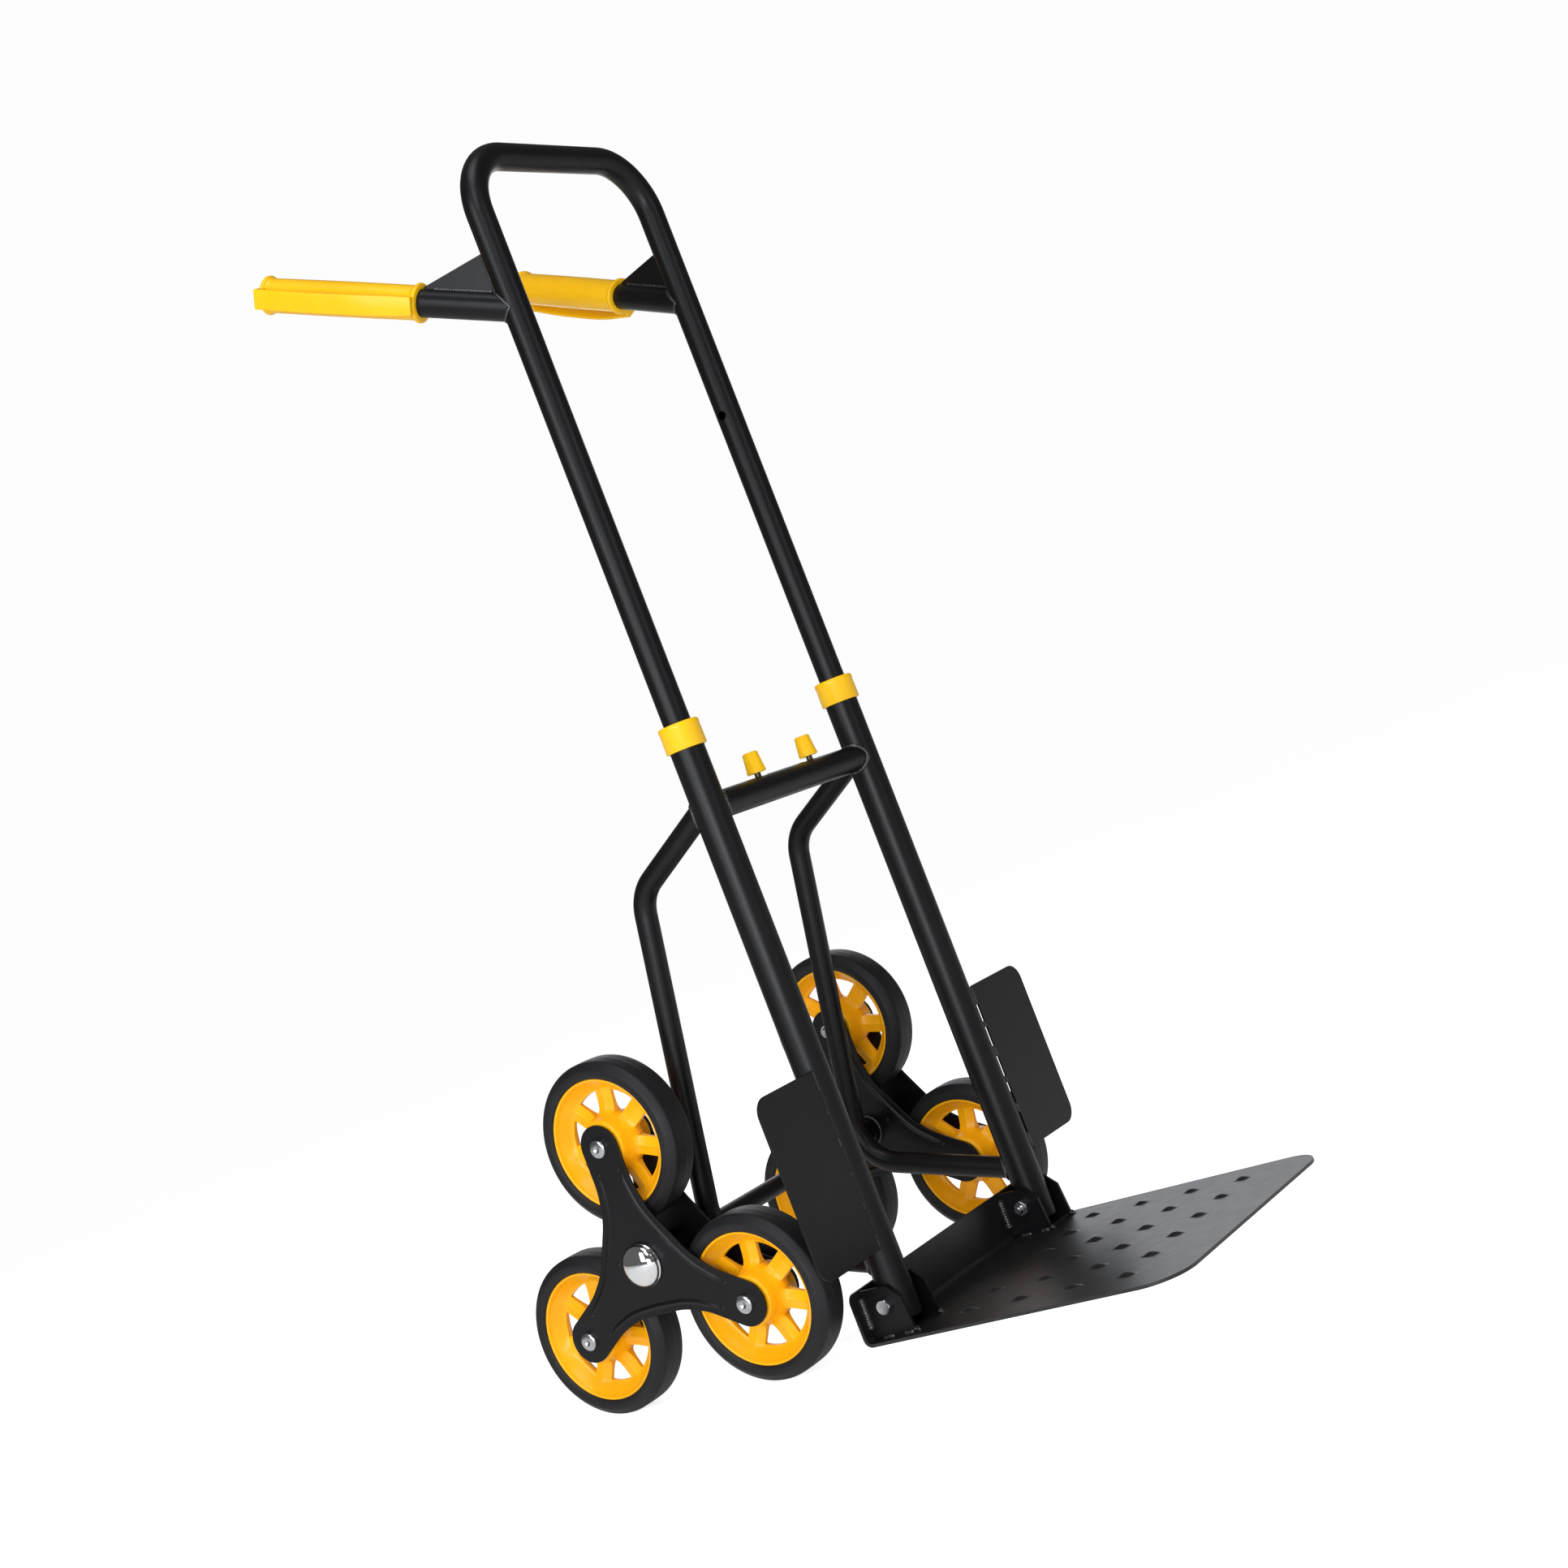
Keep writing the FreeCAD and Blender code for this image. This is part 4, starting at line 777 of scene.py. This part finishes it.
def hex_ring(place, limit, z, flats):
    """A hexagon cut round at a limit radius, at one height."""
    points = []
    for angle in circle(48):
        local = (angle + math.pi / 6) % (math.pi / 3) - math.pi / 6
        radius = min(flats / 2 / math.cos(local), limit)
        points.append(spot(place, radius * math.cos(angle), radius * math.sin(angle), z))
    return points


def turned_ring(place, share, z, flats):
    """A hexagon whose corners are turned off: all of them at share 0, none at 1."""
    low = flats / 2 * 0.97
    return hex_ring(place, low + (flats / math.sqrt(3) - low) * share, z, flats)


def hex_nut(mesh, place, flats, height, bore):
    """A hexagon nut: its corners turned down at both ends and its bore chamfered."""
    turned = 1.1
    rings = [hex_ring(place, bore, height - 0.8, flats), hex_ring(place, bore + 0.7, height, flats)]
    for share in (0.0, 0.33, 0.66, 1.0):
        rings.append(turned_ring(place, share, height - turned * share, flats))
    for share in (1.0, 0.66, 0.33, 0.0):
        rings.append(turned_ring(place, share, turned * share, flats))
    rings.append(hex_ring(place, bore, 0.0, flats))
    ring_strip(mesh, rings, loop=True)


def thread_end(mesh, place, radius, start, end):
    """The end of a bolt past its nut: thread grooves and a chamfered tip."""
    pitch = 1.25
    profile = [(0.02, start), (radius - 0.4, start)]
    z = start
    while z + pitch < end - 0.8:
        profile += [(radius - 0.62, z), (radius - 0.05, z + pitch * 0.42),
                    (radius - 0.05, z + pitch * 0.58)]
        z += pitch
    profile += [(radius - 0.5, end - 0.8), (radius - 1.3, end), (0.02, end)]
    lathe(mesh, place, profile, 40)


def carrier_fasteners(side, sign):
    """Wheel bolts with cross-recessed heads outside and hexagon nuts inside."""
    heads = bmesh.new()
    recess_shade_wedges = bmesh.new()
    nuts = bmesh.new()
    reach = STAR_HALF + STAR_SHEET
    for index in range(3):
        middle = wheel_centre(sign, index)
        seat = outward_axes(middle + Vector((sign * reach, 0, 0)), sign)
        seat = seat @ Matrix.Rotation(0.5 + 1.1 * index, 4, "Z")
        bolt_head(heads, seat, PAN_R, PAN_HEIGHT, cross=2.6)
        cross_recess(recess_shade_wedges, seat, arm=3.6, width=1.3, depth=0.9, top=3.35)
        back = outward_axes(middle - Vector((sign * reach, 0, 0)), -sign)
        back = back @ Matrix.Rotation(0.3 + 0.8 * index, 4, "Z")
        hex_nut(nuts, back, NUT_FLATS, NUT_HEIGHT, NUT_BORE)
        thread_end(heads, back, BOLT_R, 0.5, NUT_HEIGHT + 3.0)
        shank = [(BOLT_R - 0.02, -reach + 0.1), (BOLT_R - 0.02, reach - 0.1)]
        lathe(heads, outward_axes(middle, sign), shank, 32, loop=False)
    finish_mesh("wheel_bolts_look_" + side, heads, "carrier_" + side, "zinc_steel",
                ["wheel_bolts_" + side], sharp=28)
    # the cross wedges take the darker spring steel look: painted shade for the recess
    finish_mesh("wheel_bolt_painted_recess_shade_" + side, recess_shade_wedges, "carrier_" + side, "zinc_steel",
                look=LOOKS["spring_steel"])
    finish_mesh("wheel_nuts_look_" + side, nuts, "carrier_" + side, "zinc_steel",
                ["wheel_nuts_" + side], sharp=25)


def axle_cap(side, sign):
    """Chrome dome pushed on the axle end, with a rolled rim."""
    low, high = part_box("axle_cap_" + side)
    radius = (high.y - low.y) / 2 / MM
    height = (high.x - low.x) / MM
    base = Vector((sign * (STAR_X + STAR_HALF + STAR_SHEET + 0.1), AXLE.y, AXLE.z))
    place = outward_axes(base, sign)
    crown, rim = radius - 1.0, 3.2
    profile = [(radius - 1.2, 0.0), (radius - 0.2, 0.4), (radius, 1.2), (radius - 0.2, 2.0),
               (radius - 0.8, 2.6), (crown, rim)]
    for degrees in range(8, 89, 8):
        angle = math.radians(degrees)
        profile.append((crown * math.cos(angle), rim + (height - rim) * math.sin(angle)))
    profile.append((0.3, height))
    mesh = bmesh.new()
    dome(mesh, place, profile, 96)
    finish_mesh("axle_cap_look_" + side, mesh, "frame", "chrome", ["axle_cap_" + side], sharp=50)


# ---- collars, knobs, grips
def collar(side, sign):
    """Yellow collar over the tube's mouth, with a rolled top edge."""
    low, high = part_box("collar_" + side)
    outer = (high.x - low.x) / 2 / MM
    top = high.z / MM
    bottom = top - 24.0
    sleeve_end, sleeve_r = top - 34.0, 14.35
    bore = UPPER_R + 0.08
    profile = [(TUBE_R + 0.02, bottom), (outer - 1.2, bottom), (outer - 0.5, bottom + 0.25),
               (outer - 0.15, bottom + 0.9), (outer - 0.35, top - 5.2), (outer - 0.1, top - 4.6),
               (outer, top - 4.0), (outer, top - 1.7), (outer - 0.25, top - 0.9),
               (outer - 0.9, top - 0.25), (outer - 1.8, top), (bore + 1.4, top),
               (bore + 0.4, top - 0.3), (bore, top - 1.2), (bore, sleeve_end),
               (sleeve_r, sleeve_end), (sleeve_r, top - 6.0), (TUBE_R + 0.02, top - 6.0)]
    mesh = bmesh.new()
    place = Matrix.Translation(Vector((sign * HALF, 0, 0)) * MM)
    lathe(mesh, place, profile, 96)
    finish_mesh("collar_look_" + side, mesh, "frame", "yellow_plastic", ["collar_" + side],
                sharp=30)


def knob(side):
    """Lock knob: a tapered cap with a rim at its foot and a rounded top."""
    low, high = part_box("lock_knob_" + side)
    base = Vector(((low.x + high.x) / 2, (low.y + high.y) / 2, low.z)) / MM
    height = (high.z - low.z) / MM
    foot = (high.x - low.x) / 2 / MM
    tip = 7.3
    profile = [(2.9, 0.0), (foot - 0.9, 0.0), (foot - 0.25, 0.25), (foot, 0.9), (foot, 3.4),
               (foot - 0.3, 3.9)]
    for i in range(1, 6):
        share = i / 6
        profile.append((foot - 0.3 + (tip - foot + 0.3) * share, 3.9 + (height - 5.6) * share))
    profile += arc((tip - 1.7, height - 1.7), 1.7, 0, 90, 5)
    profile += [(3.4, height), (2.6, height - 0.25), (0.2, height - 0.3)]
    mesh = bmesh.new()
    place = Matrix.Translation(base * MM)
    dome(mesh, place, profile, 64)
    finish_mesh("lock_knob_look_" + side, mesh, "lock_" + side, "yellow_plastic",
                ["lock_knob_" + side], sharp=35)


def lock_spring(side, sign):
    """Compression spring behind the lock pin, built at the CAD spring's length; the real one
    shortens as the knob is pulled inward.
    """
    low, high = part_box("lock_spring_" + side)
    wire = 0.8
    near, far = sorted(abs(x) / MM for x in (low.x, high.x))
    coil = (high.z - low.z) / 2 / MM - wire
    line = []
    facing = []
    steps = 150
    for i in range(steps + 1):
        turn = math.tau * SPRING_TURNS * i / steps
        out = Vector((0, math.cos(turn), math.sin(turn)))
        along = near + wire + (far - near - 2 * wire) * i / steps
        line.append(Vector((sign * along, 0, BAR_Z)) + out * coil)
        facing.append(out)
    mesh = bmesh.new()
    sweep(mesh, line, [arc((0, 0), wire, 0, 324, 9)] * len(line), facing)
    piece = finish_mesh("lock_spring_look_" + side, mesh, "frame", "spring_steel",
                        ["lock_spring_" + side])
    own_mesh(piece)


def stub_axes(sign, turn):
    """The rear handle's own axes: +Z along it, +X to where the knuckle guard stands."""
    direction = Vector((sign * math.cos(STUB_RISE) * math.sin(STUB_SPLAY),
                        math.cos(STUB_RISE) * math.cos(STUB_SPLAY), math.sin(STUB_RISE)))
    outward = direction.cross(UP).normalized() * sign
    down = direction.cross(outward).normalized() * sign
    facing = down * math.cos(turn) + outward * math.sin(turn)
    return facing, direction.cross(facing), direction


def grip(side, sign):
    """Soft grip: a sleeve with rolled flanges, a closed end and an arched knuckle guard."""
    base = Vector((sign * HALF, 0, STUB_Z))
    facing, across, direction = stub_axes(sign, KNUCKLE_TURN[side])
    place = axes(base, facing, across, direction)
    start, end = GRIP_START, GRIP_END
    profile = [(12.75, start), (FLANGE_R - 1.6, start), (FLANGE_R - 0.5, start + 0.5),
               (FLANGE_R, start + 1.6), (FLANGE_R - 0.05, start + 2.9),
               (FLANGE_R - 0.7, start + 3.9), (FLANGE_R - 1.7, start + 4.7),
               (GRIP_R + 0.1, start + 6.6), (GRIP_R, start + 8.5)]
    for i in range(1, 8):
        share = i / 8
        belly = 0.35 * math.sin(math.pi * share)
        profile.append((GRIP_R + belly, start + 8.5 + (end - start - 17) * share))
    profile += [(GRIP_R, end - 8.5), (GRIP_R + 0.1, end - 6.6), (FLANGE_R - 1.7, end - 4.7),
                (FLANGE_R - 0.7, end - 3.9), (FLANGE_R, end - 2.6), (FLANGE_R - 0.4, end - 0.8),
                (FLANGE_R - 1.6, end), (13.0, end), (12.2, end - 0.5), (0.3, end - 0.6)]
    mesh = bmesh.new()
    lathe(mesh, place, profile, 80, loop=False)
    rows = lathe(mesh, place, [(0.3, end - 0.6), (0.28, end - 1.2)], 80, loop=False)
    mesh.faces.new(rows[-1])
    lathe(mesh, place, [(12.75, start), (12.72, start + 4)], 80, loop=False)

    # the guard's middle line, from the front flange over the knuckles to the rear end
    stations = [(20.2, start + 1.0), (21.4, start + 10), (23.2, start + 22), (25.8, start + 38),
                (27.6, start + 58), (27.9, start + 84), (27.5, start + 112), (26.2, start + 134),
                (24.6, start + 150), (24.0, end - 0.8)]
    line = [base + facing * out + direction * along for out, along in stations]
    line = smooth_line(line, 7)
    sections = [slab_section(BAND_WIDTH + BAND_WIDENS * min(4 * i / len(line), 1.0),
                             BAND_THICK, BAND_CORNER) for i in range(len(line))]
    sweep(mesh, line, sections, facing)
    # the webs that tie the guard to the sleeve at both ends
    for along, thick, widths in ((start + 3.2, 5.0, (14.0, 15.0, 16.0, 16.4)),
                                 (end - 3.1, 6.0, (17.0, 18.0, 18.2, 18.2))):
        reach = 20.6 if along < end / 2 else 24.6
        web = [base + facing * (reach * share) + direction * along
               for share in (0.1, 0.5, 0.8, 1.0)]
        sweep(mesh, web, [slab_section(width, thick, BAND_CORNER) for width in widths], direction)
    finish_mesh("soft_grip_look_" + side, mesh, "handle", "yellow_grip",
                ["soft_grip_" + side], sharp=42)


# ---- toe plate and welds
LENS_FIRST = 68.0       # first row, from the plate's front edge
LENS_ACROSS, LENS_ALONG = 48.0, 54.0
LENS_SIZE = (5.6, 11.5, 2.7)    # half width, half length and height


def toe_plate_dimples():
    """Four rows of six raised anti-slip lenses."""
    low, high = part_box("toe_plate")
    mesh = bmesh.new()
    place = Matrix.Translation(UP * PLATE_TOP * MM)
    first = low.y / MM + LENS_FIRST
    for row in range(4):
        for column in range(6):
            centre = (LENS_ACROSS * (column - 2.5), first + LENS_ALONG * row)
            dimple(mesh, place, centre, *LENS_SIZE, rings=7, turns=32)
    finish_mesh("toe_plate_dimples", mesh, "toe_plate", "black_powder_coat", look=SCUFFED,
                sharp=80)


def frame_welds(side, sign):
    """Beads where crossbar, brace and wheel guard join the main tube."""
    main = Vector((sign * HALF, 0, 0))
    out = Vector((sign, 0, 0))
    seams = [cope_seam(Vector((0, 0, BAR_Z)), out, BAR_R, main, TUBE_R, -1)]
    for inner, outer in ((BRACE_TOP, BRACE_KNEE), (BRACE_FOOT, BRACE_HEEL)):
        seams.append(cope_seam(outer + main, inner - outer, BRACE_R, main, TUBE_R, -1))
    # the wheel guard is stitched in short runs; the left one shows none on its front
    edge = Vector((sign * (GUARD_EDGE - GUARD_SLIT), GUARD_Y, 0))
    faces = (1, -1) if side == "right" else (1,)
    for low, high in GUARD_STITCHES:
        for face in faces:
            seams.append(straight(edge + UP * low, edge + UP * high,
                                  Vector((sign * 0.5, face, 0))))
    weld("frame_welds_" + side, "frame", seams)


def wheel_guard(side, sign):
    """Sheet guard beside the tube, a narrow slit between its stitches."""
    low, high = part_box("wheel_guard_" + side)
    bottom, top = low.z / MM, high.z / MM
    out = max(abs(low.x), abs(high.x)) / MM
    corners = [(GUARD_EDGE, bottom), (out, bottom), (out, top), (GUARD_EDGE, top)]
    mesh = bmesh.new()
    line = round_line(corners, (1.0, GUARD_CORNER, GUARD_CORNER, 1.0), 10)
    capped(mesh, [[Vector((sign * p.x, y, p.y)) * MM for p in line]
                  for y in (low.y / MM, high.y / MM)])
    finish_mesh("wheel_guard_look_" + side, mesh, "frame", "black_powder_coat",
                ["wheel_guard_" + side], sharp=40, bevel=0.45)


def ways_round(steps):
    """Directions all round X; the last one is the first again."""
    angles = [math.tau * i / steps for i in range(steps + 1)]
    return [Vector((0, math.cos(angle), math.sin(angle))) for angle in angles]


def axle_welds(side, sign):
    """Beads around the cross tube, on both faces of the brace's bend."""
    seams = []
    for face in (-1, 1):
        points = []
        outs = []
        for way in ways_round(60):
            rim = way * AXLE_TUBE_R
            # the bead follows the brace's round side
            depth = math.sqrt(max(BRACE_R ** 2 - rim.y ** 2, 0.0))
            points.append(AXLE + rim + Vector((sign * HALF + face * depth, 0, 0)))
            outs.append((way + Vector((face * 0.8, 0, 0))).normalized())
        seams.append((points, outs, True))
    weld("axle_welds_" + side, "frame", seams, 1.5)


def handle_welds(side, sign):
    """Beads around the rear handle's root and along the gusset."""
    base = Vector((sign * HALF, 0, STUB_Z))
    direction = stub_axes(sign, 0.0)[2]
    level = direction.xy.to_3d().normalized()
    normal = level.cross(UP)
    top_way = normal.cross(direction).normalized()
    seams = [cope_seam(base, direction, UPPER_R, base, UPPER_R, 1)]
    for face in (-1, 1):
        shift = normal * (GUSSET_HALF * face)
        low, high = [base + level * UPPER_R + UP * rise + shift for rise in GUSSET_UP]
        seams.append(straight(low, high, level + normal * face))
        near, far = [base + direction * along + top_way * UPPER_R + shift
                     for along in GUSSET_ALONG]
        seams.append(straight(near, far, top_way + normal * face))
    weld("handle_welds_" + side, "handle", seams, 1.35)


def bracket_welds(side, sign):
    """Short beads that hold the hinge bracket to the toe plate and its flange."""
    seams = []
    thick_seams = []
    for x, way in ((EAR_FACE[0], -sign), (EAR_FACE[1], sign)):
        face = sign * x
        for seam in EAR_SEAMS:
            start, end = [Vector((face, y, PLATE_TOP + 0.2)) for y in seam]
            seams.append(straight(start, end, Vector((way, 0, 1))))
        low, high = [Vector((face, FLANGE_Y, z)) for z in FLANGE_SEAM]
        thick_seams.append(straight(low, high, Vector((way, -1, 0))))
        # a lump of weld at the foot of the ear's front edge
        middle = face - way * EAR_SHEET / 2
        for lump in (0, 1, 2):
            near = Vector((middle - 3.4 + lump, EAR_FRONT - 0.4 - 1.3 * lump,
                           PLATE_TOP + 1.6 - 0.8 * lump))
            far = near + Vector((6.8 - 2 * lump, 0.5, 0.3))
            seams.append(straight(near, far, Vector((0, -1, 1))))
    weld("bracket_welds_" + side, "toe_plate", seams, 1.6)
    weld("flange_welds_" + side, "toe_plate", thick_seams, 2.7)


def hub_welds(side, sign):
    """Bead between the carrier's inner plate and its hub sleeve."""
    centre = Vector((sign * (STAR_X - STAR_HALF - STAR_SHEET), AXLE.y, AXLE.z))
    ways = ways_round(72)
    points = [centre + way * SLEEVE_R for way in ways]
    outs = [(way - Vector((sign, 0, 0))).normalized() for way in ways]
    weld("carrier_welds_" + side, "carrier_" + side, [(points, outs, True)], 1.4)


def hex_head(mesh, place, flats, height):
    """A bolt's hexagon head: chamfered top with a shallow dish, washer face under it."""
    turned = 1.5
    rows = [hex_ring(place, flats / 2 * 0.95, 0.0, flats), turned_ring(place, 1.0, 0.35, flats)]
    for share in (1.0, 0.66, 0.33, 0.0):
        rows.append(turned_ring(place, share, height - turned * share, flats))
    rows.append(hex_ring(place, flats / 2 * 0.72, height - 0.25, flats))
    capped(mesh, rows)


def hinge_fasteners():
    """Hexagon bolts from the outside, each with its nut and thread end inside."""
    bolts = bmesh.new()
    nuts = bmesh.new()
    for sign in (-1, 1):
        outside = outward_axes(Vector((sign * EAR_FACE[1], 0, HINGE_Z)), sign)
        hex_head(bolts, outside @ Matrix.Rotation(0.5, 4, "Z"), NUT_FLATS, HEX_HEIGHT)
        shank = [(BOLT_R - 0.02, -EAR_FACE[1] + EAR_FACE[0]), (BOLT_R - 0.02, 0.2)]
        lathe(bolts, outside, shank, 40, loop=False)
        inside = outward_axes(Vector((sign * EAR_FACE[0], 0, HINGE_Z)), -sign)
        hex_nut(nuts, inside @ Matrix.Rotation(0.9, 4, "Z"), NUT_FLATS, NUT_HEIGHT, NUT_BORE)
        thread_end(bolts, inside, BOLT_R, 0.5, NUT_HEIGHT + 6.0)
    finish_mesh("hinge_bolts_look", bolts, "toe_plate", "zinc_steel", ["hinge_bolts"], sharp=25)
    finish_mesh("hinge_nuts_look", nuts, "toe_plate", "zinc_steel", ["hinge_nuts"], sharp=25)


# ---- build
for side, sign in SIDES:
    for index in range(3):
        tyre(side, sign, index)
        hub(side, sign, index)
    for layer in ("outer", "inner"):
        carrier_plate(side, sign, layer)
    carrier_fasteners(side, sign)
    axle_cap(side, sign)
    collar(side, sign)
    knob(side)
    lock_spring(side, sign)
    grip(side, sign)
    wheel_guard(side, sign)
    frame_welds(side, sign)
    axle_welds(side, sign)
    handle_welds(side, sign)
    bracket_welds(side, sign)
    hub_welds(side, sign)
toe_plate_dimples()
hinge_fasteners()

# every CAD node gets its slot's procedural look
SLOT_OF = {part["node"]: part["material_slot"] for part in frame["record"]["subparts"]}
for name, node in frame["nodes"].items():
    look = LOOKS[SLOT_OF[name]]
    if name == "toe_plate":
        look = SCUFFED
    elif name.startswith("lock_slider"):
        look = STEM
    for place in node.material_slots:
        place.link = "OBJECT"
        place.material = look


# ---- floor, light, camera
# how bright floor and surroundings are, to the object and to the camera
FLOOR_GLOW = (0.30, 0.82)
STUDIO_GLOW = (0.23, 0.98)
GLOSS_DIMS = -0.10
CAMERA_PLACE = Vector((-1751, -1249, 426))

floor = bpy.data.meshes.new("floor")
reach = 30.0
floor.from_pydata([(-reach, -reach, 0), (reach, -reach, 0), (reach, reach, 0),
                   (-reach, reach, 0)], [], [(0, 1, 2, 3)])
ground = add_object("floor", floor)
paper = Shader("floor_paper")
tint = paper.ramp(paper.noise(2.0, 3), 0, 1, 0.3, 0.7)
paper.set("Base Color", paper.blend(tint, (0.70, 0.70, 0.70), (0.73, 0.73, 0.73)))
paper.set("Roughness", 0.85)
paper.set("Specular IOR Level", 0.1)
paper.set("Emission Color", (1.0, 1.0, 1.0))
seen = paper.node("ShaderNodeLightPath")
paper.set("Emission Strength", paper.ramp(seen.outputs["Is Camera Ray"], *FLOOR_GLOW))
paper.material.cycles.emission_sampling = "NONE"
floor.materials.append(paper.material)

world = bpy.data.worlds.new("studio")
bpy.context.scene.world = world
world.use_nodes = True
tree = world.node_tree
plain = tree.nodes["Background"]
plain.inputs["Color"].default_value = (1, 1, 1, 1)
path = tree.nodes.new("ShaderNodeLightPath")
dim = tree.nodes.new("ShaderNodeMapRange")
dim.inputs["To Min"].default_value, dim.inputs["To Max"].default_value = STUDIO_GLOW
tree.links.new(path.outputs["Is Camera Ray"], dim.inputs["Value"])
# glossy surfaces mirror a darker studio than the one that lights them
calm = tree.nodes.new("ShaderNodeMath")
calm.operation = "MULTIPLY_ADD"
calm.inputs[1].default_value = GLOSS_DIMS
tree.links.new(path.outputs["Is Glossy Ray"], calm.inputs[0])
tree.links.new(dim.outputs["Result"], calm.inputs[2])
tree.links.new(calm.outputs["Value"], plain.inputs["Strength"])


def softbox(name, place, target, width, height, power):
    """A rectangular studio light, in metres."""
    data = bpy.data.lights.new(name, "AREA")
    data.shape = "RECTANGLE"
    data.size = width
    data.size_y = height
    data.energy = power
    data.color = (0.93, 0.96, 1.0)
    lamp = add_object(name, data)
    lamp.location = place
    aim = (Vector(target) - Vector(place)).normalized()
    lamp.rotation_euler = aim.to_track_quat("-Z", "Y").to_euler()
    lamp.visible_camera = False


softbox("key", (-2.7, 0.15, 1.4), (0, 0.05, 0.5), 0.9, 1.9, 32)
softbox("low", (-2.3, -1.0, 0.42), (-0.13, 0, 0.2), 1.1, 0.7, 26)
softbox("high", (-1.7, -1.3, 2.3), (0, 0.1, 0.3), 1.0, 1.0, 15)
softbox("fill", (-0.2, -2.8, 1.4), (0, 0, 0.5), 0.5, 1.5, 8)
softbox("back", (2.4, 1.5, 1.2), (0, 0, 0.3), 2.2, 1.2, 15)
softbox("top", (-0.6, -0.6, 3.0), (0, 0, 0.5), 1.2, 1.2, 18)
bpy.context.scene.view_settings.view_transform = "Standard"

camera_data = bpy.data.cameras.new("camera")
camera_data.lens = 53.63
camera_data.clip_start = 0.05
camera_data.clip_end = 200
camera = add_object("camera", camera_data)
right = Vector((0.5516, -0.7517, -0.3614))
down = Vector((-0.1898, 0.3089, -0.9320))
ahead = right.cross(down)
camera.matrix_world = axes(CAMERA_PLACE, right, -down, -ahead)
bpy.context.scene.camera = camera
